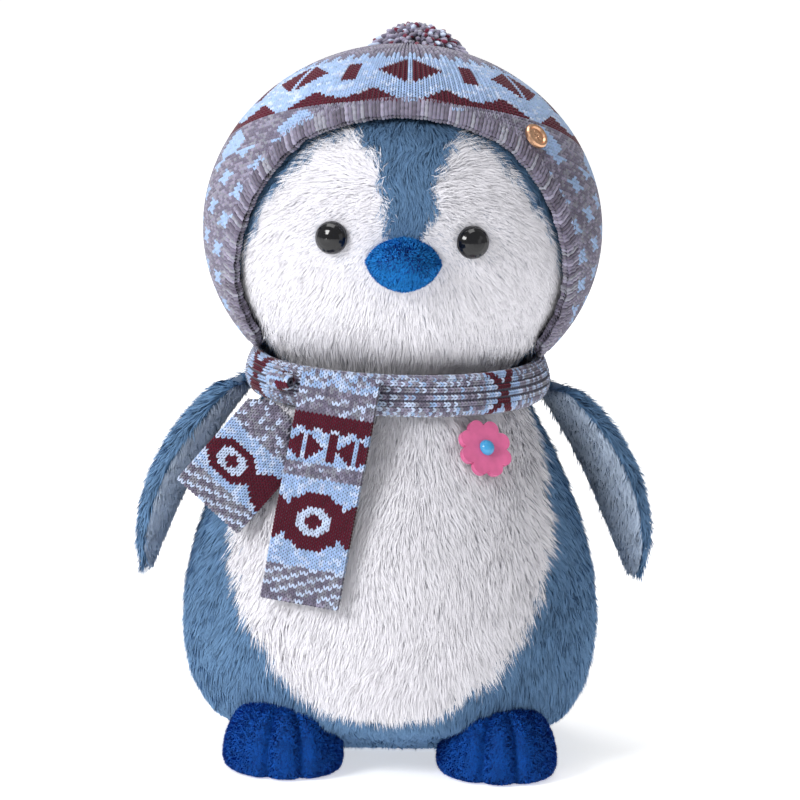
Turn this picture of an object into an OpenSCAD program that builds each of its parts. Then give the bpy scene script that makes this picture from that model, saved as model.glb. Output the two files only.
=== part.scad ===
// Plush penguin in a knitted hat with ear flaps and a long knitted scarf.
// Millimetres. The origin is the centre of the flat base, +Z is up and the face looks along -Y.
// "left" and "right" are as seen from the front: right is +X.

/* [Body] */
// Greatest radius of the body
belly_r = 95; // [85:1:110]
// Height of the greatest radius
belly_z = 59; // [50:1:68]
// Radius of the body where the head is sewn on
neck_r = 58; // [52:1:59]
// Height of the neck edge of the body
neck_z = 164; // [150:1:185]
// Radius of the flat base
base_r = 60; // [45:1:66]
// Thickness of the plush cover with its pile
plush_t = 6; // [3:0.5:8]
// Thickness of the base panel
base_t = 3; // [2:0.5:5]
// Half of the angle that the white belly panel covers
belly_half_angle = 50; // [35:1:60]
// Height of the lower edge of the belly panel
belly_low_z = 22; // [14:1:34]
// Radius of the bag of pellets in the base
pellet_bag_r = 44; // [30:1:50]
// Height of the bag of pellets
pellet_bag_h = 22; // [12:1:30]

/* [Head] */
// Half of the head's width
head_rx = 84; // [78:1:96]
// Half of the head's depth
head_ry = 75; // [70:1:86]
// Half of the head's height
head_rz = 75; // [70:1:86]
// Turn of the head to its own right at rest
head_rest_turn = 5; // [0:1:10]
// Thickness of the face plush
face_t = 5; // [3:0.5:6]
// Half of the angle that the white face covers
face_half_angle = 60; // [50:1:64]
// Slant of the forehead wedge, in degrees of width for each degree of height
forehead_slant = 0.45; // [0.2:0.05:0.6]

/* [Eyes and beak] */
// Diameter of an eye
eye_d = 15; // [10:0.5:20]
// Distance from the middle of the face to an eye
eye_x = 32; // [26:1:36]
// Height of the eyes over the centre of the head
eye_rise = 5; // [-2:1:10]
// Diameter of the shank behind an eye
eye_shank_d = 4; // [3:0.5:5]
// Diameter of the washer that holds an eye
eye_washer_d = 15; // [12:1:20]
// Width of the beak
beak_w = 34; // [26:1:42]
// Height of the beak
beak_h = 26; // [18:1:32]
// How far the beak stands out of the face
beak_out = 17; // [10:1:24]
// Thickness of the beak's plush
beak_skin_t = 2; // [1:0.5:3]
// Distance of the beak below the centre of the head
beak_drop = 4; // [0:1:10]

/* [Hat] */
// Thickness of the knitted hat
knit_t = 4.5; // [3:0.5:6]
// Height that the hat adds over the crown
crown_rise = 2; // [0:0.5:5]
// Width of the ribbed edging
edging_w = 9; // [6:0.5:12]
// Radius of the pompom
pompom_r = 22; // [16:1:28]
// Height of the pompom over the crown
pompom_h = 12; // [10:1:20]
// Angle from the top of the head back to the pompom
pompom_tilt = 24; // [0:1:30]
// Distance of the pompom to the right of the crown
pompom_x = 4; // [-8:1:8]
// Diameter of the button
button_d = 12; // [9:0.5:16]

/* [Scarf] */
// Thickness of the knitted band
band_t = 8; // [5:0.5:9]
// Height of the band round the neck
band_h = 18; // [12:1:19]
// Width of the hanging tails
tail_w = 37; // [28:1:42]
// Thickness of the hanging tails
tail_t = 5; // [3:0.5:7]
// Length of the front tail
front_tail_len = 104; // [80:1:118]
// Length of the back tail
back_tail_len = 55; // [45:1:66]

/* [Wings] */
// Distance from the middle of the body to the shoulder
shoulder_x = 73.5; // [72:0.5:86]
// Height of the shoulder
shoulder_z = 162; // [150:1:166]
// Greatest distance from the front edge to the back edge of a wing
wing_chord = 50; // [36:1:56]
// Greatest thickness of a wing
wing_t = 15; // [10:1:16]
// Turn of the wing that brings its front edge outwards
wing_twist = 21; // [10:1:30]
// Thickness of the wing's plush
wing_skin_t = 2.5; // [1.5:0.5:3]

/* [Feet] */
// Width of a foot
foot_w = 55; // [44:1:62]
// Height of a foot
foot_h = 32; // [24:1:38]
// Distance from the middle of the body to the middle of a foot
foot_x = 48; // [40:1:56]
// Distance that the feet reach forwards
foot_front = 95; // [90:1:112]
// Turn of the feet to the toy's own right
feet_turn = 3; // [-5:1:5]
// Thickness of the foot's plush
foot_skin_t = 3; // [2:0.5:4]

/* [Flower] */
// Radius of a flower from its centre to a petal's tip
flower_r = 13.5; // [10:0.5:18]
// Thickness of the petals
petal_t = 2.6; // [2:0.2:4]
// Radius of the rivet's head
rivet_head_r = 3.6; // [3:0.2:5]
// Radius of the rivet's shank
rivet_r = 1.6; // [1:0.1:2.2]
// Height of the flower's centre
flower_z = 146; // [120:1:150]
// Angle from the middle of the body round to the flower
flower_angle = 30; // [24:1:40]

/* [Hidden] */
$fn = 64;

blue = "#6f93bb";
white = "#eceef4";
bright_blue = "#1a62c4";
mauve = "#8f8799";
light_blue = "#a9c4e8";
burgundy = "#5e0e22";
pink = "#d96a96";
rose_gold = "#d9a877";
filling = "#f5f3ee";
black = "#101014";

// Gap between two pieces that are sewn or pressed together
seam = 0.4;
// Small gap round a shank in its hole
hole_gap = 0.3;
// Height of the top of the body, under the head
body_top_z = neck_z + 5;
// Height of the flat underside of the head
head_cut_z = body_top_z + 1;
// Height of the cover's lower edge, just off the ground
cover_low_z = 2;
// Inner radius and lower edge of the scarf's band
band_r = neck_r + 2;
band_z = neck_z - 2;
// Room between the head and the hat
hat_gap = 1.7;
// Height of the centre of the head, which brings the hat's ear flaps down to just over the band
head_z = band_z + band_h + 0.95 + 0.69 * (head_rz + knit_t + hat_gap);

// ---------- solids from grids of points ----------
// A row is a list of points that runs anticlockwise as seen from above, and the rows run upwards.

function grid_faces(rows, cols, start, flip, wraps) = [
    for (r = [0:rows - 2], c = [0:cols - (wraps ? 1 : 2)])
        let (a = start + r * cols + c, b = start + r * cols + (c + 1) % cols)
        for (f = [[a, a + cols, b + cols], [a, b + cols, b]]) flip ? [f[2], f[1], f[0]] : f
];

// The walls that join two grids along a row of points
function rim_faces(first, second, count, flip) = [
    for (i = [0:count - 2])
        for (f = [[first[i], first[i + 1], second[i + 1]], [first[i], second[i + 1], second[i]]])
            flip ? [f[2], f[1], f[0]] : f
];

function middle(points) = [for (k = [0:2]) [for (p = points) p[k]] * [for (p = points) 1] / len(points)];

// A skin between an outer and an inner grid
module skin(outer, inner, wraps = false, closed_end = false) {
    rows = len(outer);
    cols = len(outer[0]);
    total = rows * cols;
    loop = [for (c = [0:cols - (wraps ? 0 : 1)]) c % cols];
    column = [for (r = [0:rows - 1]) r * cols];
    last = (rows - 1) * cols;
    tips = closed_end ? [middle(outer[rows - 1]), middle(inner[rows - 1])] : [];
    polyhedron(
        points = concat([for (row = outer) each row], [for (row = inner) each row], tips),
        faces = concat(
            grid_faces(rows, cols, 0, false, wraps),
            grid_faces(rows, cols, total, true, wraps),
            rim_faces(loop, [for (c = loop) total + c], len(loop), false),
            closed_end
                ? [for (c = [0:cols - 1]) each [
                    [last + c, 2 * total, last + (c + 1) % cols],
                    [total + last + (c + 1) % cols, 2 * total + 1, total + last + c]]]
                : rim_faces([for (c = loop) last + c], [for (c = loop) total + last + c], len(loop), true),
            wraps ? [] : rim_faces(column, [for (c = column) total + c], rows, true),
            wraps ? [] : rim_faces(
                [for (c = column) c + cols - 1], [for (c = column) total + c + cols - 1], rows, false)
        )
    );
}

// A filled solid through closed rows
module filled(rows) {
    cols = len(rows[0]);
    last = (len(rows) - 1) * cols;
    total = len(rows) * cols;
    polyhedron(
        points = concat([for (row = rows) each row], [middle(rows[0]), middle(rows[len(rows) - 1])]),
        faces = concat(
            grid_faces(len(rows), cols, 0, false, true),
            [for (c = [0:cols - 1]) [(c + 1) % cols, total, c]],
            [for (c = [0:cols - 1]) [last + c, total + 1, last + (c + 1) % cols]]
        )
    );
}

// ---------- body ----------

// Radius of the body at a height
function body_r(z) =
    z < belly_z
        ? base_r + (belly_r - base_r) * sqrt(1 - pow((belly_z - z) / belly_z, 2))
        : neck_r + (belly_r - neck_r) * cos(90 * min(1, (z - belly_z) / (neck_z - belly_z)));

// Outline of the body from a height up, drawn in by an inset: a round lower part, then the sides
function body_edge(low, inset, steps = 12) = let (from = acos(1 - low / belly_z)) concat(
    [for (i = [0:steps - 1])
        let (z = belly_z * (1 - cos(from + (90 - from) * i / steps))) [body_r(z) - inset, z]],
    [for (i = [0:steps])
        let (z = belly_z + (neck_z - inset / 2 - belly_z) * i / steps) [body_r(z) - inset, z]],
    [[neck_r - 3 - inset, body_top_z - 2 - inset / 2], [neck_r - 8 - inset, body_top_z - inset / 2]]
);

module cover_outline(low) {
    inner = body_edge(low, plush_t);
    polygon(concat(body_edge(low, 0), [for (i = [len(inner) - 1:-1:0]) inner[i]]));
}

module body_space(inset) {
    rotate_extrude()
        polygon(concat([[0, base_t + seam]], body_edge(base_t + seam, inset), [[0, body_top_z - inset / 2]]));
}

// A pie slice round the front of the body
module front_slice(half_angle, low) {
    reach = 2 * belly_r;
    translate([0, 0, low])
        linear_extrude(height = body_top_z)
            polygon([
                [0, 0], [-reach * tan(half_angle), -reach], [reach * tan(half_angle), -reach]
            ]);
}

module base_panel() {
    color(blue) cylinder(r = base_r - seam, h = base_t);
}

module back_panel() {
    color(blue)
        difference() {
            rotate_extrude() cover_outline(cover_low_z);
            front_slice(belly_half_angle, belly_low_z);
        }
}

module belly_panel() {
    color(white)
        difference() {
            rotate([0, 0, -90 - belly_half_angle + seam])
                rotate_extrude(angle = 2 * (belly_half_angle - seam))
                    cover_outline(belly_low_z + seam);
            at_flower() cylinder(r = rivet_r + hole_gap, h = 60, center = true);
        }
}

module pellet_bag_form(gap) {
    translate([0, 0, base_t + 1 + pellet_bag_h / 2])
        rotate_extrude()
            polygon([
                for (a = [-90:10:90])
                    [(pellet_bag_r + gap) * cos(a), (pellet_bag_h / 2 + gap) * sin(a)]
            ]);
}

module pellet_bag() {
    color(filling) pellet_bag_form(0);
}

module body_stuffing() {
    color(filling)
        difference() {
            body_space(plush_t + 2 * seam);
            pellet_bag_form(hole_gap);
            at_flower() translate([0, 0, -plush_t - 12]) cylinder(r = flower_washer_r + 1, h = 20);
        }
}

// ---------- feet ----------

foot_ry = 34;
foot_y = foot_front - foot_ry;

module feet_place() {
    rotate([0, 0, -feet_turn]) children();
}

// Outline of a foot: an oval with two grooves that part three toes
function foot_edge(a) =
    let (groove = 0.09)
        1 - groove * (exp(-pow((a + 108) / 7, 2)) + exp(-pow((a + 72) / 7, 2)));

function foot_rows(inset, low) = [
    for (i = [0:8])
        let (e = 84 * i / 8)
            [for (a = [-180:7.5:172.5])
                let (k = foot_edge(a))
                    [foot_x + (foot_w / 2 - inset) * cos(e) * cos(a) * k,
                     -foot_y + (foot_ry - inset) * cos(e) * sin(a) * k,
                     low + (foot_h - inset - low) * sin(e)]]
];

// The room that the body takes from a foot
module body_clearance() {
    rotate_extrude()
        polygon(concat([[0, -1], [base_r + 2 * seam, -1]], body_edge(0, -2 * seam), [[0, body_top_z]]));
}

module foot_cover() {
    color(bright_blue)
        difference() {
            skin(foot_rows(0, foot_skin_t + seam), foot_rows(foot_skin_t, foot_skin_t + seam), true, true);
            body_clearance();
        }
}

module foot_sole() {
    steps = [for (a = [-180:7.5:172.5]) a];
    color(bright_blue)
        difference() {
            linear_extrude(height = foot_skin_t)
                polygon([for (a = steps) let (k = foot_edge(a))
                    [foot_x + (foot_w / 2 - 1) * cos(a) * k, -foot_y + (foot_ry - 1) * sin(a) * k]]);
            body_clearance();
        }
}

module foot_stuffing() {
    color(filling)
        difference() {
            filled(foot_rows(foot_skin_t + seam, foot_skin_t + 2 * seam));
            body_clearance();
        }
}

// ---------- wings ----------
// The wing hangs from the shoulder along a bow, and its section is a D: full outside, flatter inside.

// The line swells out as the belly does
belly_swell = belly_r - neck_r;
wing_bow = [belly_swell - 6, -33];
wing_tip = [belly_swell, -81];

function wing_line(s) =
    [shoulder_x, shoulder_z] + 2 * s * (1 - s) * wing_bow + s * s * wing_tip;

function wing_width(s) = pow(sin(180 * (0.2 + 0.785 * s)), 0.5);

function wing_point(s, a, inset) =
    let (line = wing_line(s),
         k = wing_width(s),
         u = max(0.8, wing_chord * k / 2 - inset) * cos(a),
         n = max(0.4, wing_t * k * (sin(a) > 0 ? 0.6 : 0.4) - inset) * sin(a))
        [line[0] + u * sin(wing_twist) + n * cos(wing_twist),
         -u * cos(wing_twist) + n * sin(wing_twist),
         line[1] + n * 0.35];

// Rows from the tip up, so that they rise
function wing_rows(from, to, inset, start, end) = [
    for (i = [0:12])
        [for (j = [0:(to - from) / 15])
            wing_point(end - (end - start) * i / 12, from + 15 * j, inset)]
];

module wing_panel(from, to) {
    skin(wing_rows(from, to, 0, 0, 1), wing_rows(from, to, wing_skin_t, 0, 1));
}

module wing_outer() {
    color(blue) wing_panel(0, 180);
}

// The lining is drawn in along both seams so that it doesn't meet the outer panel
module wing_lining() {
    color(white) translate([-0.5, -0.1, 0]) wing_panel(195, 345);
}

module wing_stuffing() {
    color(filling) filled(wing_rows(0, 345, wing_skin_t + seam, 0.02, 0.93));
}

// ---------- head ----------

module head_place() {
    translate([0, 0, head_z]) rotate([0, 0, -head_rest_turn]) children();
}

// A point of the head's surface, drawn in by an inset: a is measured round from the front
function head_point(a, e, inset) =
    [(head_rx - inset) * cos(e) * sin(a), -(head_ry - inset) * cos(e) * cos(a), (head_rz - inset) * sin(e)];

// Depth of the surface under a point of the face
function face_y(x, z) = -head_ry * sqrt(1 - pow(x / head_rx, 2) - pow(z / head_rz, 2));

low_e = -63;
// Gap between two panels, as an angle
panel_gap = 0.5;
forehead_low_e = 10;
forehead_top_e = 56;

// Half-angle of the blue wedge at a height on the forehead
function wedge(e) = max(0, forehead_slant * (e - forehead_low_e));

// A panel of the head between two heights, with an edge angle on each side given for each row
module head_panel(from, to, low, high, rows, cols) {
    grid = function (inset) [
        for (i = [0:rows])
            let (e = low + (high - low) * i / rows)
                [for (j = [0:cols]) head_point(from(e) + (to(e) - from(e)) * j / cols, e, inset)]
    ];
    skin(grid(0), grid(face_t));
}

module forehead_panel() {
    color(blue)
        head_place()
            head_panel(
                function (e) -wedge(e), function (e) wedge(e),
                forehead_low_e + 5, forehead_top_e, 8, 6);
}

module face_panel(side) {
    color(white)
        head_place()
            difference() {
                if (side > 0)
                    head_panel(
                        function (e) wedge(e) + panel_gap, function (e) face_half_angle,
                        low_e, forehead_top_e, 14, 12);
                else
                    head_panel(
                        function (e) -face_half_angle, function (e) -wedge(e) - panel_gap,
                        low_e, forehead_top_e, 14, 12);
                at_eye(side) {
                    translate([0, 0, -eye_sink]) cylinder(d = eye_d + 1, h = 20);
                    cylinder(d = eye_shank_d + 2 * hole_gap, h = 60, center = true);
                }
            }
}

module left_face_panel() {
    face_panel(-1);
}

module right_face_panel() {
    face_panel(1);
}

// The blue back runs round behind the face and over the crown
module head_back_panel() {
    edge = face_half_angle + panel_gap;
    color(blue)
        head_place() {
            head_panel(function (e) edge, function (e) 360 - edge, low_e, forehead_top_e, 12, 24);
            crown_cap();
        }
}

// The crown over the face, which the hat hides
module crown_cap() {
    rows = 4;
    grid = function (inset) [
        for (i = [0:rows])
            let (e = forehead_top_e + 1 + (86 - forehead_top_e - 1) * i / rows)
                [for (j = [0:35]) head_point(10 * j, e, inset)]
    ];
    skin(grid(0), grid(face_t), true, true);
}

module head_stuffing() {
    inset = face_t + seam;
    color(filling)
        head_place()
            difference() {
                filled([
                    for (e = [-62:8.5:82]) [for (j = [0:35]) head_point(10 * j, e, inset)]
                ]);
                for (side = [-1, 1])
                    at_eye(side) {
                        cylinder(d = eye_shank_d + 2 * hole_gap, h = 60, center = true);
                        translate([0, 0, -eye_sink - eye_shank_len])
                            cylinder(d = eye_washer_d + 1, h = eye_shank_len);
                    }
            }
}

// ---------- eyes and beak ----------

// Depth of the eye's flat back in the pile
eye_sink = 3;
eye_shank_len = 12;

// Moves to an eye, with +Z out of the face
module at_eye(side) {
    y = face_y(eye_x, eye_rise);
    normal = [eye_x / pow(head_rx, 2), y / pow(head_ry, 2), eye_rise / pow(head_rz, 2)];
    translate([side * eye_x, y, eye_rise])
        rotate([0, 0, side * atan2(normal[0], -normal[1])])
            rotate([90 - atan2(normal[2], norm([normal[0], normal[1]])), 0, 0])
                children();
}

module eye(side) {
    dome_h = eye_d * 0.42;
    color(black)
        head_place()
            at_eye(side)
                translate([0, 0, -eye_sink + seam]) {
                    rotate_extrude()
                        polygon(concat(
                            [[0, 0], [eye_d / 2 - 0.6, 0], [eye_d / 2, 0.8]],
                            [for (a = [15:15:90])
                                [eye_d / 2 * cos(a), 0.8 + dome_h * sin(a)]]
                        ));
                    translate([0, 0, -eye_shank_len + 2]) cylinder(d = eye_shank_d, h = eye_shank_len - 1);
                }
}

module left_eye() {
    eye(-1);
}

module right_eye() {
    eye(1);
}

// The washer is pushed on the shank from inside
module eye_washer(side) {
    color("gainsboro")
        head_place()
            at_eye(side)
                translate([0, 0, -face_t - seam - 3])
                    difference() {
                        cylinder(d = eye_washer_d, h = 2);
                        translate([0, 0, -1]) cylinder(d = eye_shank_d + 0.1, h = 4);
                    }
}

module left_eye_washer() {
    eye_washer(-1);
}

module right_eye_washer() {
    eye_washer(1);
}

// Rows of the beak run out from the face, and each ring turns about the beak's axis
function beak_ring(size, inset, out) = [
    for (a = [0:10:350])
        let (x = (beak_w / 2 - inset) * size * cos(a), z = -beak_drop + (beak_h / 2 - inset) * size * sin(a))
            [x, face_y(x, z) - seam - out, z]
];

function beak_rows(inset, out) = [
    for (i = [0:7]) let (t = 84 * i / 7) beak_ring(cos(t), inset, out * sin(t))
];

module beak_cover() {
    color(bright_blue)
        head_place() skin(beak_rows(0, beak_out), beak_rows(beak_skin_t, beak_out - beak_skin_t), true, true);
}

module beak_stuffing() {
    color(filling)
        head_place() {
            inset = beak_skin_t + seam;
            back = [for (size = [0.1, 0.5, 0.8]) beak_ring(size, inset, seam)];
            filled(concat(back, beak_rows(inset, beak_out - inset)));
        }
}

// ---------- hat ----------
// Points of the hat are found from a pole at the back of the head, up a little, so that every edge
// of the hat runs round that pole.

pole_e = 25;

// Angle from the pole to the edge of the hat: turn is 0 over the forehead, 90 over the right ear
// and 180 at the nape
edge_turns = [0, 33, 52, 68, 80, 95, 108, 119, 129, 136, 146, 160, 180];
edge_angles = [108, 109, 115, 119.5, 121.5, 123, 124, 124, 113, 92, 70, 57, 52];

function hat_edge(turn) =
    let (t = turn > 180 ? 360 - turn : turn)
        lookup(t, [for (i = [0:len(edge_turns) - 1]) [edge_turns[i], edge_angles[i]]]);

// A point of the hat at a turn and an angle from the pole
function hat_point(turn, angle, out) =
    let (side = sin(angle) * sin(turn),
         up = sin(angle) * cos(turn),
         back = cos(angle),
         y = back * cos(pole_e) - up * sin(pole_e),
         z = back * sin(pole_e) + up * cos(pole_e))
        [(head_rx + out) * side, (head_ry + out) * y, (head_rz + out + crown_rise * max(0, z)) * z];

// Width of the edging as an angle
edging_angle = edging_w / (head_ry + knit_t) * 57.3;

// The turn runs the other way so that the rows run anticlockwise about the pole from outside
function hat_rows(low, high, out, rows) = [
    for (i = [0:rows])
        [for (turn = [0:7.5:352.5])
            let (edge = hat_edge(turn)) hat_point(turn, low(edge) + (high(edge) - low(edge)) * i / rows, out)]
];

module hat_shell() {
    low = function (edge) edge - edging_angle - 0.4;
    high = function (edge) 4;
    color(mauve)
        head_place()
            skin(hat_rows(low, high, knit_t + hat_gap, 14), hat_rows(low, high, hat_gap, 14), true, true);
}

module hat_edging() {
    low = function (edge) edge;
    high = function (edge) edge - edging_angle;
    color(mauve)
        head_place()
            skin(hat_rows(low, high, knit_t + hat_gap, 2), hat_rows(low, high, hat_gap, 2), true, false);
}

// Moves to the crown, with +Z out of the hat
module at_crown() {
    head_place()
        translate([
            pompom_x,
            (head_ry + knit_t + hat_gap) * sin(pompom_tilt),
            (head_rz + knit_t + hat_gap + crown_rise) * cos(pompom_tilt)
        ])
            rotate([-pompom_tilt, 0, 0]) children();
}

module pompom_tie() {
    color(mauve) at_crown() translate([0, 0, seam]) cylinder(r = 6, h = 1.6);
}

// Height of the pompom's widest ring
pompom_low = 1.5;

module pompom() {
    color(mauve)
        at_crown()
            translate([0, 0, 2 + 2 * seam])
                rotate_extrude()
                    polygon(concat(
                        [for (r = [0:pompom_r / 5:pompom_r * 0.9]) [r, -r * r / (2 * head_ry + 2 * knit_t)]],
                        [for (a = [0:10:90])
                            [pompom_r * cos(a), pompom_low + (pompom_h - pompom_low - 2) * sin(a)]]
                    ));
}

// Direction of the button from the centre of the head: round from the front, and up
button_a = 51;
button_e = 36;

module hat_button() {
    out = knit_t + hat_gap;
    z = sin(button_e);
    at = [
        (head_rx + out) * cos(button_e) * sin(button_a),
        -(head_ry + out) * cos(button_e) * cos(button_a),
        (head_rz + out + crown_rise * z) * z
    ];
    color(rose_gold)
        head_place()
            translate(at)
                rotate([0, 0, button_a])
                    rotate([90 - button_e, 0, 0])
                        translate([0, 0, 0.8])
                            rotate_extrude()
                                polygon([
                                    [0, 0], [button_d / 2 - 1, 0], [button_d / 2, 1], [button_d / 2, 2.2],
                                    [button_d / 2 - 0.6, 3], [button_d / 2 - 1.6, 2.8],
                                    [button_d / 2 - 2.2, 2], [0, 2.2]
                                ]);
}

// ---------- scarf ----------

module scarf_wrap() {
    color(mauve)
        rotate_extrude()
            translate([band_r + band_t / 2, band_z + band_h / 2]) {
                square([band_t, band_h - band_t], center = true);
                for (end = [-1, 1])
                    translate([0, end * (band_h - band_t) / 2]) circle(d = band_t);
            }
}

// Outside of the band, where the tails lie
tail_r = band_r + band_t + 1.5;
front_tail_angle = 25;
back_tail_angle = 20;
loop_angle = 51;
back_tail_top_z = band_z - 3;
// How far the tails lean off a vertical plane, as the belly swells under them
front_tail_lean = atan((belly_r + 1.43 - tail_r) / (band_z + band_h - belly_z - 20.5));
back_tail_drop = 43;
back_tail_swell = body_r(back_tail_top_z - back_tail_drop) - body_r(back_tail_top_z);
back_tail_lean = atan((1.35 * back_tail_swell - 19.99) / back_tail_drop);
// How far the tails slant to the left as they hang
front_tail_slant = 4;
back_tail_slant = 38;

// Moves to a place on the band, with +X along it and -Y out of it
module at_band(angle, r, z) {
    rotate([0, 0, -angle]) translate([0, -r, z]) children();
}

// The small fold of the scarf beside the front tail
module scarf_loop() {
    color(light_blue)
        at_band(loop_angle, tail_r + 3.5, band_z + band_h - 6)
            rotate([90, 0, 90])
                linear_extrude(height = 14, center = true)
                    difference() {
                        circle(d = 9);
                        circle(d = 3);
                    }
}

module tail(length) {
    corner = 3;
    translate([0, 0, -length])
        rotate([90, 0, 0])
            linear_extrude(height = tail_t) {
                translate([-tail_w / 2 + corner, 0]) square([tail_w - 2 * corner, length]);
                translate([-tail_w / 2, corner]) square([tail_w, length - 2 * corner]);
                for (x = [-1, 1], z = [corner, length - corner])
                    translate([x * (tail_w / 2 - corner), z]) circle(r = corner);
            }
}

module scarf_front_tail() {
    color(mauve)
        at_band(front_tail_angle, tail_r, band_z + band_h)
            rotate([-front_tail_lean, front_tail_slant, 0]) tail(front_tail_len);
}

// Where the back tail comes out from under the front tail: to the left along the band, and down
back_tail_shift = 32;

// The back tail shows only beside the front tail and below the band
module scarf_back_tail() {
    reach = 2 * back_tail_len;
    color(light_blue)
        at_band(back_tail_angle, tail_r - 3.5, back_tail_top_z)
            difference() {
                translate([-back_tail_shift, 0, 0])
                    rotate([-back_tail_lean, back_tail_slant, 0]) tail(back_tail_len);
                translate([-reach, -reach, 0.5]) cube(2 * reach);
                translate([2 - back_tail_shift, -reach, -reach]) cube(2 * reach);
            }
}

// ---------- flower ----------

flower_washer_r = 6;
// Slope of the body's side at the flower
flower_slope = atan2(body_r(flower_z - 1) - body_r(flower_z + 1), 2);

// Moves to the flower's place on the belly, with +Z out of it
module at_flower() {
    rotate([0, 0, flower_angle])
        translate([0, -body_r(flower_z), flower_z])
            rotate([90 - flower_slope, 0, 0])
                children();
}

module flower_petals() {
    petals = 8;
    petal_w = flower_r * 0.3;
    color(pink)
        at_flower()
            translate([0, 0, 1])
                difference() {
                    linear_extrude(height = petal_t) {
                        circle(r = flower_r * 0.45);
                        for (i = [0:petals - 1])
                            rotate([0, 0, 360 / petals * (i + 0.3)]) {
                                translate([flower_r - petal_w, 0]) circle(r = petal_w);
                                translate([0, -petal_w * 0.7]) square([flower_r - petal_w, petal_w * 1.4]);
                            }
                    }
                    translate([0, 0, -1]) cylinder(r = rivet_r + 0.1, h = petal_t + 2);
                }
}

module flower_rivet() {
    color(light_blue)
        at_flower() {
            translate([0, 0, -plush_t - 3]) cylinder(r = rivet_r, h = plush_t + 3 + 1 + petal_t + 0.4);
            translate([0, 0, 1 + petal_t + 0.2])
                rotate_extrude()
                    polygon([
                        for (a = [0:15:90]) [rivet_head_r * cos(a), 3 * sin(a)],
                        [0, 0]
                    ]);
        }
}

module flower_washer() {
    color("gainsboro")
        at_flower()
            translate([0, 0, -plush_t - 2.4])
                difference() {
                    cylinder(r = flower_washer_r, h = 1.6);
                    translate([0, 0, -1]) cylinder(r = rivet_r + 0.05, h = 4);
                }
}

base_panel();
back_panel();
belly_panel();
body_stuffing();
pellet_bag();
feet_place() mirror([1, 0, 0]) foot_cover();  // left_foot_cover
feet_place() mirror([1, 0, 0]) foot_sole();  // left_foot_sole
feet_place() mirror([1, 0, 0]) foot_stuffing();  // left_foot_stuffing
feet_place() foot_cover();  // right_foot_cover
feet_place() foot_sole();  // right_foot_sole
feet_place() foot_stuffing();  // right_foot_stuffing
mirror([1, 0, 0]) wing_outer();  // left_wing_outer
mirror([1, 0, 0]) wing_lining();  // left_wing_lining
mirror([1, 0, 0]) wing_stuffing();  // left_wing_stuffing
wing_outer();  // right_wing_outer
wing_lining();  // right_wing_lining
wing_stuffing();  // right_wing_stuffing
head_back_panel();
forehead_panel();
left_face_panel();
right_face_panel();
head_stuffing();
left_eye();
left_eye_washer();
right_eye();
right_eye_washer();
beak_cover();
beak_stuffing();
hat_shell();
hat_edging();
hat_button();
pompom();
pompom_tie();
scarf_wrap();
scarf_loop();
scarf_front_tail();
scarf_back_tail();
flower_petals();
flower_rivet();
flower_washer();
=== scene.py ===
"""The looks of the plush penguin, built round the CAD frame. Millimetres and degrees until a mesh is made."""
import math

import bpy
import numpy as np
from mathutils import Matrix, Vector


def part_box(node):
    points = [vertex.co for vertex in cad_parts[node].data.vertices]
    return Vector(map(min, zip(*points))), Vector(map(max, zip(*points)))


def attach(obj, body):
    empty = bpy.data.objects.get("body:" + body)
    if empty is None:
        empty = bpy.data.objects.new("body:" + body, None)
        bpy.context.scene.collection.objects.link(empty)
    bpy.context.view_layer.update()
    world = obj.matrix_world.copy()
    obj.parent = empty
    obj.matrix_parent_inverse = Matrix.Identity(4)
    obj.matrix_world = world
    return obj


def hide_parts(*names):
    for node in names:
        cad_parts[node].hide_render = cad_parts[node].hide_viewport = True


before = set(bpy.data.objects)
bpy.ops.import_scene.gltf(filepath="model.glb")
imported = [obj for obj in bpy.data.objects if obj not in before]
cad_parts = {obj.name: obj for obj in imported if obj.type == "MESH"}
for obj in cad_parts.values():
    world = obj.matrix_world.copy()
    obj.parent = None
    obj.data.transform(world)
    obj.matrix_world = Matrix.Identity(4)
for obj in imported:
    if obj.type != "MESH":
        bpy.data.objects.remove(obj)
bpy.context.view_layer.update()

MM = 0.001

# ---------- sizes that repeat the CAD, in millimetres and degrees ----------
BELLY_R, BELLY_Z, NECK_R, NECK_Z, BASE_R = 95.0, 59.0, 58.0, 164.0, 60.0
HEAD = (84.0, 75.0, 75.0)
HEAD_Z = 170 + HEAD[2] * 0.893
HEAD_TURN = -5.0
CROWN_RISE = 2.0
KNIT_OUT = 1.7
KNIT_T = 4.5
EDGE_TURNS = [0, 33, 52, 68, 80, 95, 108, 119, 129, 136, 146, 160, 180]
EDGE_ANGLES = [108, 109, 115, 119.5, 121.5, 123, 124, 124, 113, 92, 70, 57, 52]
EDGING_ANGLE = 6.49
EDGE_TILT = 25
SHOULDER = (73.5, 162.0)
WING_SWING = 75
# The room that the scarf's band takes: its outer radius and its lower edge
SCARF_OUT, SCARF_FOOT = 70.5, 159.0

# Colours are linear values of the cloths and yarns. A pile's root colour is darker than its body and tip as
# painted shade deep in the pile.
BLUE_SHADED_ROOT, BLUE_BODY, BLUE_TIP = (0.046, 0.108, 0.222), (0.102, 0.208, 0.372), (0.172, 0.312, 0.515)
WHITE_SHADED_ROOT, WHITE_BODY, WHITE_TIP = (0.79, 0.785, 0.85), (0.87, 0.86, 0.91), (0.93, 0.92, 0.96)
BEAK_SHADED_ROOT, BEAK_BODY, BEAK_TIP = (0.003, 0.110, 0.420), (0.006, 0.180, 0.580), (0.015, 0.260, 0.700)
BRIGHT_SHADED_ROOT, BRIGHT_BODY, BRIGHT_TIP = (0.001, 0.040, 0.260), (0.001, 0.070, 0.400), (0.006, 0.120, 0.520)
LINING_SHADED_ROOT, LINING_BODY, LINING_TIP = (0.30, 0.40, 0.56), (0.45, 0.55, 0.70), (0.58, 0.67, 0.80)


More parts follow.
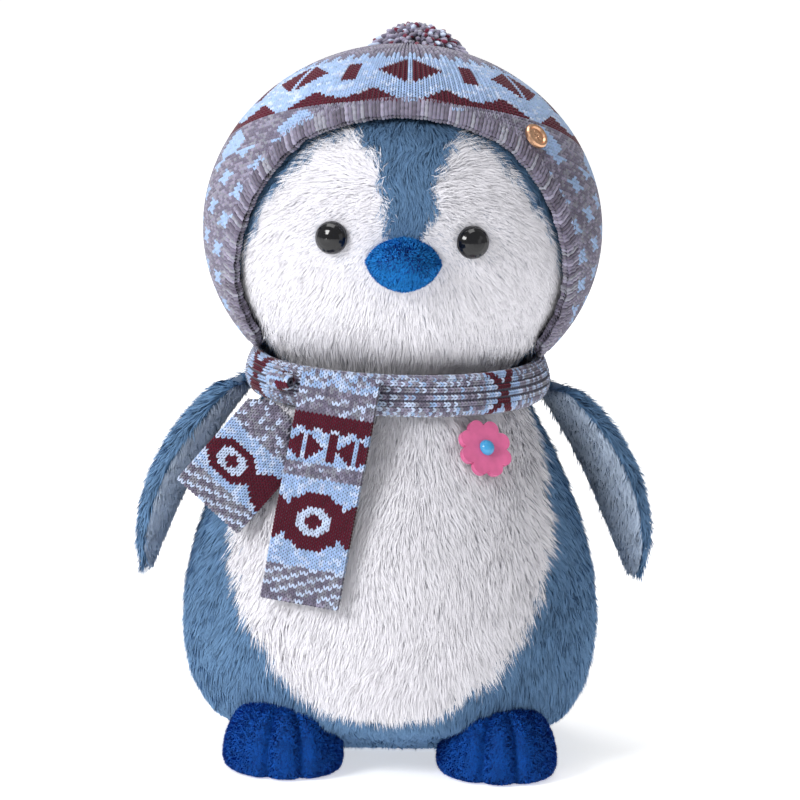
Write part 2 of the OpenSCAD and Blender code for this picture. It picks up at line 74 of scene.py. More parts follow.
# ---------- arrays of points ----------
def unit(v):
    return v / np.maximum(np.linalg.norm(v, axis=-1, keepdims=True), 1e-9)


def rad(x):
    return np.radians(x)


def turn_about(axis, degrees):
    return np.array(Matrix.Rotation(math.radians(degrees), 3, axis))


def placed(points, turns, offset):
    """points turned by the matrices in turns, the last one first, and then moved by offset."""
    m = np.eye(3)
    for t in turns:
        m = m @ t
    return points @ m.T + np.array(offset, float)


def waves(points, size, seed, count=7):
    """A smooth random value from about -1 to 1 at each point, which changes over about size millimetres."""
    rng = np.random.default_rng(seed)
    directions = unit(rng.normal(size=(count, 3))) * (2 * math.pi / size) * rng.uniform(0.6, 1.4, (count, 1))
    phases = rng.uniform(0, 2 * math.pi, count)
    return np.sin(points @ directions.T + phases).sum(-1) / math.sqrt(count) * 0.8


def wave_vector(points, size, seed):
    return np.stack([waves(points, size, seed + k) for k in range(3)], -1)


def grid_normals(grid, wraps):
    if wraps:
        across = np.roll(grid, -1, 1) - np.roll(grid, 1, 1)
    else:
        across = np.gradient(grid, axis=1)
    return unit(np.cross(across, np.gradient(grid, axis=0)))


# ---------- meshes ----------
def make_mesh(name, points, material, quads=(), tris=(), uv=None, normals=None, smooth=True):
    """points in millimetres; uv one pair a point; normals one a point."""
    quads = np.asarray(quads, np.int32).reshape(-1, 4)
    tris = np.asarray(tris, np.int32).reshape(-1, 3)
    corners = np.concatenate([quads.ravel(), tris.ravel()])
    starts = np.concatenate([np.arange(len(quads)) * 4,
                             len(quads) * 4 + np.arange(len(tris)) * 3]).astype(np.int32)
    mesh = bpy.data.meshes.new(name)
    mesh.vertices.add(len(points))
    mesh.vertices.foreach_set("co", (np.asarray(points, float) * MM).astype(np.float32).ravel())
    mesh.loops.add(len(corners))
    mesh.loops.foreach_set("vertex_index", corners)
    mesh.polygons.add(len(starts))
    mesh.polygons.foreach_set("loop_start", starts)
    mesh.update(calc_edges=True)
    mesh.polygons.foreach_set("use_smooth", np.full(len(starts), smooth))
    if uv is not None:
        layer = mesh.uv_layers.new(name="OFBake")
        layer.data.foreach_set("uv", np.asarray(uv, np.float32)[corners].ravel())
    if normals is not None:
        mesh.normals_split_custom_set_from_vertices(np.asarray(normals, float))
    mesh.materials.append(material)
    obj = bpy.data.objects.new(name, mesh)
    bpy.context.scene.collection.objects.link(obj)
    return obj


def grid_quads(rows, cols, wraps, start=0):
    r, c = np.meshgrid(np.arange(rows - 1), np.arange(cols if wraps else cols - 1), indexing="ij")
    a = start + r * cols + c
    b = start + r * cols + (c + 1) % cols
    return np.stack([a, b, b + cols, a + cols], -1).reshape(-1, 4)


def grid_mesh(name, grid, wraps, material):
    rows, cols = grid.shape[:2]
    uv = np.stack(np.meshgrid(np.linspace(0, 1, cols), np.linspace(0, 1, rows)), -1)
    return make_mesh(name, grid.reshape(-1, 3), material, grid_quads(rows, cols, wraps), uv=uv.reshape(-1, 2))


def finish_piece(obj, body, nodes=()):
    if nodes:
        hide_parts(*nodes)
    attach(obj, body)
    return obj


# ---------- materials ----------
def node_material(name, sockets):
    """A material, its node tree and its shader, with the values in sockets on the shader's own sockets."""
    material = bpy.data.materials.new(name)
    material.use_nodes = True
    shader = material.node_tree.nodes["Principled BSDF"]
    for socket, value in sockets.items():
        shader.inputs[socket].default_value = value
    return material, material.node_tree, shader


def new_node(tree, kind, sockets=(), **settings):
    node = tree.nodes.new("ShaderNode" + kind)
    for setting, value in settings.items():
        setattr(node, setting, value)
    for socket, value in dict(sockets).items():
        node.inputs[socket].default_value = value
    return node


def ramp_node(tree, stops):
    node = new_node(tree, "ValToRGB")
    elements = node.color_ramp.elements
    while len(elements) < len(stops):
        elements.new(0.5)
    for element, (place, colour) in zip(elements, stops):
        element.position = place
        element.color = (*colour, 1)
    return node


def link_nodes(tree, *links):
    """Each link is a node and its output, then a node and its input."""
    for source, output, target, entry in links:
        tree.links.new(source.outputs[output], target.inputs[entry])


def noise_node(tree, scale, detail):
    coords, noise = new_node(tree, "TexCoord"), new_node(tree, "TexNoise", {"Scale": scale, "Detail": detail})
    link_nodes(tree, (coords, "Object", noise, "Vector"))
    return noise


def bump_from(tree, noise, shader, strength, distance):
    raised = new_node(tree, "Bump", {"Strength": strength, "Distance": distance})
    link_nodes(tree, (noise, "Fac", raised, "Height"), (raised, "Normal", shader, "Normal"))


def ramps_by_uv(tree, ramp_u, ramp_v):
    """The product of a ramp along u and a ramp along v of the OFBake map."""
    uv, split = new_node(tree, "UVMap", uv_map="OFBake"), new_node(tree, "SeparateXYZ")
    mix = new_node(tree, "Mix", {"Factor": 1.0}, data_type="RGBA", blend_type="MULTIPLY")
    link_nodes(tree, (uv, "UV", split, 0), (split, "X", ramp_u, "Fac"), (split, "Y", ramp_v, "Fac"))
    return mix


def fur_material(name, root, body, tip, sheen=0.35, spread=0.16):
    """Pile whose colour runs from a darker root, painted shade deep in the pile, up to a lighter tip, with
    each tuft a little lighter or darker.
    """
    material, tree, shader = node_material(name, {
        "Roughness": 0.8, "Specular IOR Level": 0.25, "Sheen Weight": sheen, "Sheen Roughness": 0.5,
        "Sheen Tint": (*tip, 1)})
    # Painted shade: the ramp along v darkens the pile toward its roots.
    ramp = ramp_node(tree, [(0.0, root), (0.45, body), (1.0, tip)])
    vary = ramp_node(tree, [(0.0, (1 - spread,) * 3), (0.5, (1, 1, 1)), (1.0, (1 + spread * 0.6,) * 3)])
    mix = ramps_by_uv(tree, vary, ramp)
    link_nodes(tree, (ramp, "Color", mix, "A"), (vary, "Color", mix, "B"),
               (mix, "Result", shader, "Base Color"))
    return material


def backing_material(name, dark, light, scale=900.0, bump=0.4, sheen=0.2):
    """The woven ground under a pile, or a plain felt."""
    material, tree, shader = node_material(name, {"Roughness": 0.9, "Sheen Weight": sheen})
    noise, ramp = noise_node(tree, scale, 4), ramp_node(tree, [(0.35, dark), (0.65, light)])
    link_nodes(tree, (noise, "Fac", ramp, "Fac"), (ramp, "Color", shader, "Base Color"))
    bump_from(tree, noise, shader, bump, 0.0004)
    return material


# ---------- pile ----------
def sample_grid(grid, normals, wraps, per_mm2, rng):
    """Points spread evenly over a grid's area, with their normals and their place (row, column) in it."""
    if wraps:
        grid = np.concatenate([grid, grid[:, :1]], 1)
        normals = np.concatenate([normals, normals[:, :1]], 1)
    a, b, c, d = grid[:-1, :-1], grid[:-1, 1:], grid[1:, 1:], grid[1:, :-1]
    area = 0.5 * np.linalg.norm(np.cross(c - a, d - b), axis=-1)
    total = int(area.sum() * per_mm2)
    cell = rng.choice(area.size, total, p=(area / area.sum()).ravel())
    row, col = np.divmod(cell, area.shape[1])
    u, v = rng.random((2, total, 1))

    def at(m):
        return ((1 - u) * (1 - v) * m[row, col] + u * (1 - v) * m[row, col + 1]
                + u * v * m[row + 1, col + 1] + (1 - u) * v * m[row + 1, col])
    return at(grid), unit(at(normals)), row + v[:, 0], col + u[:, 0]


def pile(name, root, normal, flow, length, width, rng, lay=0.72, stray=0.22, clump=9.0, wild=1.0,
         material=None, seed=0):
    """A ribbon for each tuft: two points at the root, two half way up and one at the tip."""
    n = len(root)
    drift = wave_vector(root, clump * 2.5, seed + 11) * 0.30 + wave_vector(root, clump, seed + 23) * 0.26
    drift = wild * (drift - (drift * normal).sum(-1, keepdims=True) * normal)
    flow = flow - (flow * normal).sum(-1, keepdims=True) * normal
    flow = unit(flow + drift + rng.normal(size=(n, 3)) * stray)
    lift = 1 - lay + waves(root, clump, seed + 37)[:, None] * 0.08 + rng.uniform(-0.08, 0.12, (n, 1))
    length = (np.broadcast_to(length, (n,)) * rng.uniform(0.75, 1.15, n))[:, None]
    first = unit(normal * (lift + 0.25) + flow * lay)
    second = unit(normal * lift * 0.7 + flow * (lay + 0.25))
    middle = root + first * length * 0.45
    tip = middle + second * length * 0.55
    spin = rng.uniform(-1.1, 1.1, (n, 1))
    across = unit(np.cross(second, normal))
    across = unit(across * np.cos(spin) + np.cross(second, across) * np.sin(spin))
    half = across * np.broadcast_to(width, (n,))[:, None] * 0.5
    points = np.stack([root - half, root + half, middle - half * 0.85, middle + half * 0.85, tip], 1)
    points[..., 2] = np.maximum(points[..., 2], 0.4)
    facing = np.cross(across, second)
    facing *= np.sign((facing * normal).sum(-1, keepdims=True) + 1e-6)
    blended = unit(normal * 0.85 + facing * 0.15)
    normals = np.repeat(blended[:, None], 5, 1)
    shade = np.clip(0.5 + 0.28 * waves(root, clump * 1.6, seed + 51) + rng.normal(size=n) * 0.2, 0, 1)
    # v runs from the root at 0 to the tip at 1; the fur materials paint shade toward the root along it.
    uv = np.stack([np.repeat(shade[:, None], 5, 1), np.broadcast_to([0, 0, 0.5, 0.5, 1.0], (n, 5))], -1)
    first_vertex = np.arange(n)[:, None] * 5
    quads = first_vertex + np.array([0, 1, 3, 2])
    tris = first_vertex + np.array([2, 3, 4])
    return make_mesh(name, points.reshape(-1, 3), material, quads, tris, uv.reshape(-1, 2),
                     normals.reshape(-1, 3))


# Strands to a square millimetre, and a strand's length and width in millimetres
BODY_PILE, HEAD_PILE, BEAK_PILE = (2.7, 8.5, 0.48), (3.3, 7.0, 0.42), (7.5, 1.7, 0.38)
WING_PILE, LINING_PILE, FOOT_PILE = (2.7, 8.0, 0.5), (3.4, 4.0, 0.55), (9.0, 2.2, 0.40)

BLUE_FUR = fur_material("blue_fur", BLUE_SHADED_ROOT, BLUE_BODY, BLUE_TIP)
WHITE_FUR = fur_material("white_fur", WHITE_SHADED_ROOT, WHITE_BODY, WHITE_TIP, spread=0.07)
BRIGHT_PLUSH = fur_material("bright_blue_plush", BRIGHT_SHADED_ROOT, BRIGHT_BODY, BRIGHT_TIP,
                            sheen=0.08, spread=0.25)
BEAK_PLUSH = fur_material("beak_blue_plush", BEAK_SHADED_ROOT, BEAK_BODY, BEAK_TIP, sheen=0.08, spread=0.22)
LINING_PLUSH = fur_material("lining_plush", LINING_SHADED_ROOT, LINING_BODY, LINING_TIP, spread=0.12)
# The grounds under the piles are darker than the piles themselves: painted shade under the pile.
BLUE_GROUND = backing_material("blue_ground", (0.040, 0.110, 0.230), (0.080, 0.180, 0.330))
WHITE_GROUND = backing_material("white_ground", (0.55, 0.57, 0.65), (0.75, 0.77, 0.83))
BRIGHT_GROUND = backing_material("bright_ground", (0.002, 0.028, 0.20), (0.003, 0.05, 0.32), sheen=0.0)
LINING_GROUND = backing_material("lining_ground", (0.30, 0.40, 0.56), (0.42, 0.52, 0.68))
FIBRE = backing_material("stuffing_fibre", (0.70, 0.69, 0.66), (0.92, 0.91, 0.88), scale=350, bump=0.9)


# ---------- body ----------
def body_radius(z):
    z = np.asarray(z, float)
    low = BASE_R + (BELLY_R - BASE_R) * np.sqrt(np.clip(1 - ((BELLY_Z - z) / BELLY_Z) ** 2, 0, 1))
    share = np.clip((z - BELLY_Z) / (NECK_Z - BELLY_Z), 0, 1)
    high = NECK_R + (BELLY_R - NECK_R) * np.cos(rad(90 * share))
    return np.where(z < BELLY_Z, low, high)


# Turn of the toy's markings to its own right, and half of the belly panel's angle at each height
BELLY_MIDDLE = -6.0
BELLY_HEIGHTS = [0, 26, 29, 32, 42, 54, 62, 82, 112, 129, 150, 169]
BELLY_ANGLES = [-40, -20, 2, 14, 25, 35, 39, 48, 60, 66, 78, 88]
# The fur's ground lies this far inside the CAD's body
BODY_INSET = 4.5


def body_profile(turn, inset):
    """From the edge of the flat base up to the neck. In front the underside rises like a bowl."""
    front = (0.5 + 0.5 * math.cos(turn)) ** 1.5
    start = np.array([58 - 34 * front, 1.5 + 1.5 * front])
    end_z = 8 + 22 * front
    end = np.array([float(body_radius(end_z)) - inset, end_z])
    bend = np.array([58 + 32 * front, 1.0 + 17 * front])
    t = np.linspace(0, 1, 14)[:-1, None]
    bowl = (1 - t) ** 2 * start + 2 * t * (1 - t) * bend + t * t * end
    z = np.linspace(end_z, 168, 44)
    side = np.stack([body_radius(z) - inset, z], -1)
    return np.concatenate([bowl, side])


def body_grid(columns=96):
    turns = np.linspace(0, 2 * math.pi, columns, endpoint=False)
    rows = np.stack([body_profile(t, BODY_INSET) for t in turns], 1)
    r, z = rows[..., 0], rows[..., 1]
    return np.stack([r * np.sin(turns), -r * np.cos(turns), z], -1)


def belly_side(points):
    """Degrees inside the white panel's edge, negative on the blue."""
    turn = np.degrees(np.arctan2(points[:, 0], -points[:, 1])) - BELLY_MIDDLE
    return np.interp(points[:, 2], BELLY_HEIGHTS, BELLY_ANGLES) - np.abs(turn)


def build_body():
    rng = np.random.default_rng(1)
    grid = body_grid()
    normals = grid_normals(grid, True)
    closing = np.stack([grid[0] * [s, s, 1] for s in (0.35, 0.7)])
    skin = grid_mesh("body_cover", np.concatenate([closing, grid]), True, BLUE_GROUND)
    skin.data.materials.append(WHITE_GROUND)
    faces = np.array([p.center for p in skin.data.polygons]) / MM
    skin.data.polygons.foreach_set("material_index", (belly_side(faces) > 0).astype(np.int32))
    finish_piece(skin, "torso", ("back_panel", "belly_panel", "body_stuffing"))
    per_mm2, longest, width = BODY_PILE
    root, normal, _, _ = sample_grid(grid, normals, True, per_mm2, rng)
    side = belly_side(root) + waves(root, 14, 5) * 2.2 + rng.normal(size=len(root)) * 1.5
    swirl = np.stack([-root[:, 1], root[:, 0], np.zeros(len(root))], -1)
    flow = np.array([0, 0, -1.0]) + unit(swirl) * (waves(root, 60, 9) * 0.35)[:, None]
    # The pile is short round the base
    length = longest * np.clip((root[:, 2] - 6) / 30, 0.35, 1)
    white, left, front = side > 0, root[:, 0] < 0, root[:, 1] < 0
    parts = [("left_front_pile", ~white & left & front), ("left_back_pile", ~white & left & ~front),
             ("right_front_pile", ~white & ~left & front), ("right_back_pile", ~white & ~left & ~front),
             ("belly_white_pile", white)]
    for name, mask in parts:
        material, slot, wild = BLUE_FUR, "blue_fur", 0.85
        if mask is white:
            material, slot, wild = WHITE_FUR, "white_fur", 0.5
        obj = pile(name, root[mask], normal[mask], flow[mask], length[mask], width, rng, lay=0.76,
                   stray=0.12, clump=7.0, wild=wild, material=material, seed=3)
        finish_piece(obj, "torso")


# ---------- head ----------
def head_frame(points):
    return placed(points, [turn_about("Z", HEAD_TURN)], (0, 0, HEAD_Z))


def head_local(points):
    return placed(points - [0, 0, HEAD_Z], [turn_about("Z", -HEAD_TURN)], (0, 0, 0))


def head_turned(vectors):
    return placed(vectors, [turn_about("Z", HEAD_TURN)], (0, 0, 0))


def head_at(a, e, inset):
    """A point in the head's own frame; a and e in degrees."""
    a, e = rad(a), rad(e)
    x, y, z = (r - inset for r in HEAD)
    return np.stack([x * np.cos(e) * np.sin(a), -y * np.cos(e) * np.cos(a), z * np.sin(e) + 0 * a], -1)


def edge_reach(points):
    """Degrees that a point of the head's frame lies inside the hat's edge, negative outside the hat."""
    d = unit(points / (np.array(HEAD) + KNIT_OUT))
    sn, cs = math.sin(rad(EDGE_TILT)), math.cos(rad(EDGE_TILT))
    back, up = d[:, 1] * cs + d[:, 2] * sn, -d[:, 1] * sn + d[:, 2] * cs
    turn = np.degrees(np.arctan2(np.abs(d[:, 0]), up))
    angle = np.degrees(np.arccos(np.clip(back, -1, 1)))
    return np.interp(turn, EDGE_TURNS, EDGE_ANGLES) - angle


def edge_direction(turn, angle):
    """The head's direction at angle from the pole of the hat's edge, and at turn round it from the top."""
    turn, angle = rad(turn), rad(angle)
    back, up, side = np.cos(angle) + 0 * turn, np.sin(angle) * np.cos(turn), np.sin(angle) * np.sin(turn)
    sn, cs = math.sin(rad(EDGE_TILT)), math.cos(rad(EDGE_TILT))
    return np.stack([side, back * cs - up * sn, back * sn + up * cs], -1)


# Half of the blue forehead stripe at each elevation, and the white face's upper edge, in degrees
STRIPE_E = [-2, 2, 5, 9.5, 18, 26, 33, 39, 44, 60]
STRIPE_A = [-30, 2, 4.5, 6.0, 8.2, 9.9, 13.4, 18.2, 25.5, 36]
STRIPE_MIDDLE = 1.5
TOP_A, TOP_E = [20, 26, 34, 43, 49, 54, 66, 76, 84], [44, 41, 36.5, 25, 14, 4, -14, -36, -90]
# The eyes' places to each side and up, and the beak's middle
EYE_X, EYE_Z, BEAK_Z = 32, 5, -4


def face_side(points):
    """About the degrees inside the white face, for points of the head's frame."""
    e = np.degrees(np.arcsin(np.clip(points[:, 2] / HEAD[2], -1, 1)))
    a = np.degrees(np.arctan2(points[:, 0] / HEAD[0], -points[:, 1] / HEAD[1]))
    stripe = np.abs(a - STRIPE_MIDDLE) - np.interp(e, STRIPE_E, STRIPE_A)
    top = np.interp(np.abs(a), TOP_A, TOP_E) - e
    return np.minimum(stripe, top)


def build_head():
    rng = np.random.default_rng(2)
    a = np.linspace(0, 360, 96, endpoint=False)
    e = np.linspace(-63, 84, 64)
    grid = head_at(a[None], e[:, None], 4.0)
    normals = grid_normals(grid, True)
    local = np.concatenate([np.stack([grid[0] * [s, s, 1] for s in (0.4, 0.8)]), grid,
                            grid[-1:] * [0.3, 0.3, 1.004]])
    skin = grid_mesh("head_cover", head_frame(local), True, BLUE_GROUND)
    skin.data.materials.append(WHITE_GROUND)
    faces = head_local(np.array([p.center for p in skin.data.polygons]) / MM)
    skin.data.polygons.foreach_set("material_index", (face_side(faces) > 0).astype(np.int32))
    finish_piece(skin, "head", ("head_back_panel", "forehead_panel", "left_face_panel",
                                            "right_face_panel", "head_stuffing"))
    per_mm2, longest, width = HEAD_PILE
    root, normal, _, _ = sample_grid(grid, normals, True, per_mm2, rng)
    # No pile deep under the hat, under the neck, on the eyes or in the beak
    keep = (edge_reach(root) < 5.0) & (root[:, 2] > -66)
    front = root[:, 1] < 0
    to_eye = np.hypot(np.abs(root[:, 0]) - EYE_X, root[:, 2] - EYE_Z)
    in_beak = (root[:, 0] / 15.5) ** 2 + ((root[:, 2] - BEAK_Z) / 11.5) ** 2 < 1
    keep &= ~(front & ((to_eye < 6.5) | in_beak))
    root, normal = root[keep], normal[keep]
    side = face_side(root) + waves(root, 12, 6) * 1.6 + rng.normal(size=len(root)) * 1.2
    # The pile fans away from the beak, and down over the cheeks
    away = root - np.array([0.0, -HEAD[1], 4.0])
    white, front = side > 0, front[keep]
    flow = np.where(white[:, None], unit(away * [1, 0.3, 1]) * 0.9 + np.array([0, 0, -0.75]),
                    np.array([0, 0, -1.0]) + unit(away) * 0.15)
    # It is shorter near the eyes and the beak
    near = np.where(front, np.clip(to_eye[keep] / 24, 0.45, 1), 1.0)
    beak = np.clip(np.hypot(root[:, 0], root[:, 2] - BEAK_Z) / 34, 0.4, 1)
    length = longest * near * np.where(front, beak, 1.0)
    # Under the chin the pile hangs straight down to the scarf
    under = np.clip((-root[:, 2] - 34) / 22, 0, 1)
    flow = flow * (1 - under)[:, None] + np.array([0, -0.25, -1.0]) * under[:, None]
    length = length * (1 + 0.9 * under)
    for name, mask, material, slot, wild in (("head_blue_pile", ~white, BLUE_FUR, "blue_fur", 0.8),
                                             ("face_white_pile", white, WHITE_FUR, "white_fur", 0.5)):
        obj = pile(name, head_frame(root[mask]), head_turned(normal[mask]), head_turned(flow[mask]),
                   length[mask], width, rng, lay=0.74, stray=0.11, clump=7.0, wild=wild,
                   material=material, seed=7)
        finish_piece(obj, "head")


def build_beak():
    """A wide lemon of short pile that stands out of the face."""
    rng = np.random.default_rng(3)
    t = np.linspace(0, 360, 48, endpoint=False)
    out = np.linspace(0, 1, 16)
    x0 = 16.2 * np.cos(rad(t))
    z0 = np.where(np.sin(rad(t)) > 0, 10.6, 12.0) * np.sin(rad(t))
    # Pointed a little at the two sides
    pinch = 1 - 0.10 * np.abs(np.sin(rad(t))) ** 0.5 * np.abs(np.cos(rad(t)))
    swell = np.cos(out * math.pi / 2) ** 0.75
    x = swell[:, None] * (x0 * pinch)[None] + 1.0
    z = swell[:, None] * (z0 * pinch)[None] - 4.6
    face = -HEAD[1] * np.sqrt(np.clip(1 - (x / HEAD[0]) ** 2 - (z / HEAD[2]) ** 2, 0, 1))
    y = face + 3.0 - 18.5 * np.sin(out * math.pi / 2)[:, None]
    grid = np.stack([x, y, z], -1)
    normals = -grid_normals(grid, True)
    skin = grid_mesh("beak_plush", head_frame(grid[:, ::-1]), True, BRIGHT_GROUND)
    finish_piece(skin, "head", ("beak_cover", "beak_stuffing"))
    per_mm2, length, width = BEAK_PILE
    root, normal, _, _ = sample_grid(grid, normals, True, per_mm2, rng)
    outward = ((root - np.array([0, -HEAD[1] - 3, -4.0])) * normal).sum(-1) > 0
    normal = np.where(outward[:, None], normal, -normal)
    flow = np.broadcast_to([0.0, -0.3, -1.0], root.shape)
    obj = pile("beak_pile", head_frame(root), head_turned(normal), head_turned(flow), length, width, rng,
               lay=0.35, stray=0.6, clump=4.0, wild=0.7, material=BEAK_PLUSH, seed=9)
    finish_piece(obj, "head")


# ---------- wings ----------
def wing_grid(side, low, high, inset, rows=40, cols=20):
    s = np.linspace(-0.05, 1.0, rows)[:, None]
    a = rad(np.linspace(low, high, cols))[None]
    lx = SHOULDER[0] + 2 * s * (1 - s) * 31 + s * s * 37
    lz = SHOULDER[1] - 2 * s * (1 - s) * 33 - s * s * 81
    k = np.sqrt(np.clip(np.sin(math.pi * (0.2 + 0.785 * s)), 0.003, 1))
    u = np.maximum(25 * k - inset, 0.8) * np.cos(a)
    n = np.maximum(15 * k * np.where(np.sin(a) > 0, 0.6, 0.4) - inset, 0.4) * np.sin(a)
    sn, cs = math.sin(rad(21)), math.cos(rad(21))
    x = lx + u * sn + n * cs
    y = -u * cs + n * sn
    z = lz + 0.35 * n + 0 * u
    return np.stack([side * x, y, z], -1)


def build_wing(side, name):
    rng = np.random.default_rng(20 + side)
    body = name + "_wing"
    # The cloth of both faces is one closed bag
    bag = wing_grid(side, 0, 360, 2.6, cols=41)[:, :-1]
    core = bag.mean(1)
    ends = [np.broadcast_to(bag[i].mean(0), bag[i].shape) for i in (0, -1)]
    bag = np.concatenate([ends[0][None], bag, ends[1][None]])[::-1]
    if side < 0:
        bag = bag[:, ::-1]
    skin = grid_mesh(name + "_wing_cover", bag, True, BLUE_GROUND)
    finish_piece(skin, body,
                 (name + "_wing_outer", name + "_wing_lining", name + "_wing_stuffing"))
    for part, low, high, (per_mm2, length, width), material, lay, slot in (
            ("_wing_pile", -2, 190, WING_PILE, BLUE_FUR, 0.76, "blue_fur"),
            ("_wing_lining_pile", 192, 356, LINING_PILE, LINING_PLUSH, 0.6, "wing_lining")):
        grid = wing_grid(side, low, high, 2.4)
        normals = grid_normals(grid, False)
        root, normal, row, _ = sample_grid(grid, normals, False, per_mm2, rng)
        inner = np.stack([np.interp(row, np.arange(len(core)), core[:, k]) for k in range(3)], -1)
        outward = ((root - inner) * normal).sum(-1) > 0
        normal = np.where(outward[:, None], normal, -normal)
        if low < 0:
            # The rounded end over the shoulder
            cap = [bag[-2] + (bag[-1] - bag[-2]) * share for share in np.linspace(0, 0.98, 8)]
            top, _, _, _ = sample_grid(np.stack(cap), np.stack([c * 0 for c in cap]), True, 5.0, rng)
            root = np.concatenate([root, top])
            normal = np.concatenate([normal, np.tile(unit(np.array([-side * 0.35, 0, 1.0])), (len(top), 1))])
        flow = np.broadcast_to([side * 0.15, 0.1, -1.0], root.shape)
        rise = np.clip((root[:, 2] - SHOULDER[1] + 3) / 4, 0, 1)[:, None]
        flow = flow * (1 - rise) + np.array([side * 1.0, 0, -0.2]) * rise
        # The pile is short where the raised wing would push it into the scarf
        hinge = np.array([side * SHOULDER[0], 0, SHOULDER[1]])
        raised = [placed(p - hinge, [turn_about("Y", -side * WING_SWING)], hinge)
                  for p in (root, root + normal * 3.0, root + unit(normal * 0.5 + unit(flow)) * length)]
        reach = [(np.hypot(p[:, 0], p[:, 1]) < SCARF_OUT) & (p[:, 2] > SCARF_FOOT) for p in raised]
        length = np.where(reach[1] | reach[2], 2.0, length)
        root, normal, flow, length = (v[~reach[0]] for v in (root, normal, flow, length))
        obj = pile(name + part, root, normal, flow, length, width, rng, lay=lay, stray=0.14, clump=7.0,
                   wild=0.8, material=material, seed=30 + side)
        finish_piece(obj, body)


# ---------- feet ----------
# Where the two seams between the toes lie round a foot, their depth as a share of it, and their half width
TOE_SEAMS, TOE_DEPTH, TOE_HALF = (-108, -72), 0.13, 6.5
# The share of a foot's rows, and of its height, that its rounded lower edge takes
FOOT_EDGE_ROWS, FOOT_EDGE_RISE = 0.12, 0.16


def foot_grid(side, inset, cols=120, rows=26):
    """A dome with three toes; the rows run from the edge of the sole up to the top."""
    a = np.linspace(-180, 180, cols, endpoint=False)
    t = np.linspace(0, 1, rows)[:, None]
    # The side rounds out over the sole before it closes over the top
    low = t < FOOT_EDGE_ROWS
    edge = t / FOOT_EDGE_ROWS * math.pi / 2
    dome = np.clip(t - FOOT_EDGE_ROWS, 0, 1) / (1 - FOOT_EDGE_ROWS) * math.pi / 2
    wide = np.where(low, 0.84 + 0.16 * np.sin(edge), np.cos(dome) ** 0.62)
    high = np.where(low, FOOT_EDGE_RISE - FOOT_EDGE_RISE * np.cos(edge),
                    FOOT_EDGE_RISE + (1 - FOOT_EDGE_RISE) * np.sin(dome))
    seam = sum(np.exp(-((a - place) / TOE_HALF) ** 2) for place in TOE_SEAMS)
    outline = 1 - TOE_DEPTH * seam
    groove = 1 - (1 - outline) * (0.35 + 0.65 * wide)
    x = (27.5 - inset) * np.cos(rad(a)) * wide * groove
    y = (34.0 - inset) * np.sin(rad(a)) * wide * groove - 61
    drop = 1 - 0.35 * (1 - outline) / TOE_DEPTH * np.exp(-((wide - 0.85) / 0.25) ** 2)
    z = 0.6 + (31.4 - inset) * high * (1 - (1 - drop) * 0.35)
    grid = np.stack([x + side * 48, y, z + 0 * x], -1)
    return placed(grid, [turn_about("Z", -3)], (0, 0, 0))


def build_foot(side, name):
    rng = np.random.default_rng(40 + side)
    grid = foot_grid(side, 1.8)
    normals = grid_normals(grid, True)
    low = grid[0].mean(0)
    sole = np.stack([low + (grid[0] - low) * s for s in (0.02, 0.5, 0.9)])
    skin = grid_mesh(name + "_foot_plush", np.concatenate([sole, grid]), True, BRIGHT_GROUND)
    finish_piece(skin, "torso",
                 (name + "_foot_cover", name + "_foot_stuffing", name + "_foot_sole"))
    per_mm2, length, width = FOOT_PILE
    root, normal, _, _ = sample_grid(grid, normals, True, per_mm2, rng)
    keep = root[:, 1] < -30
    root, normal = root[keep], normal[keep]
    flow = np.broadcast_to([0.0, -1.0, -0.4], root.shape)
    obj = pile(name + "_foot_pile", root, normal, flow, length, width, rng, lay=0.45, stray=0.8, clump=4.5,
               wild=0.6, material=BRIGHT_PLUSH, seed=41 + side)
    finish_piece(obj, "torso")


# ---------- knitting ----------
# A stitch's yarn class is kept in its u: column k of eight colours
MAUVE, LILAC, LIGHT, PALE, BURGUNDY, DARK, GREY, WINE = range(8)
YARNS = [(0.185, 0.168, 0.235), (0.310, 0.290, 0.390), (0.380, 0.520, 0.770), (0.580, 0.670, 0.850),
         (0.095, 0.004, 0.020), (0.120, 0.105, 0.150), (0.290, 0.290, 0.350), (0.150, 0.018, 0.045)]


def yarn_material(name):
    """Twisted woollen yarn: colour by stitch, times painted shade and highlight along v (darker at the lobes'
    sides and ends, lighter on their ridges), with fluff.
    """
    material, tree, shader = node_material(name, {
        "Roughness": 0.85, "Specular IOR Level": 0.2, "Sheen Weight": 0.3, "Sheen Roughness": 0.5})
    ramp = ramp_node(tree, [(k / 8, c) for k, c in enumerate(YARNS)])
    ramp.color_ramp.interpolation = "CONSTANT"
    # Painted shade and highlight: the v ramp darkens the lobes' sides and ends and lightens their ridges.
    lobe_shade = ramp_node(tree, [(0.0, (0.62, 0.62, 0.64)), (0.5, (1, 1, 1)), (1.0, (1.22, 1.22, 1.24))])
    mix, noise = ramps_by_uv(tree, ramp, lobe_shade), noise_node(tree, 2600, 3)
    fuzz = new_node(tree, "Mix", {"Factor": 0.35}, data_type="RGBA", blend_type="OVERLAY")
    link_nodes(tree, (ramp, "Color", mix, "A"), (lobe_shade, "Color", mix, "B"), (mix, "Result", fuzz, "A"),
               (noise, "Color", fuzz, "B"), (fuzz, "Result", shader, "Base Color"))
    bump_from(tree, noise, shader, 0.5, 0.0002)
    return material


YARN = yarn_material("wool_yarn")
# Painted shade: a dark sheet under all the knitting, seen only in the gaps between stitches.
KNIT_SHADE_GROUND = backing_material("knit_shade_ground", (0.05, 0.045, 0.07), (0.10, 0.095, 0.14), scale=1200)


def cells(rows, cols):
    """The row and the column of each stitch in a plain panel."""
    r, c = np.meshgrid(np.arange(rows), np.arange(cols), indexing="ij")
    return r.ravel(), c.ravel()


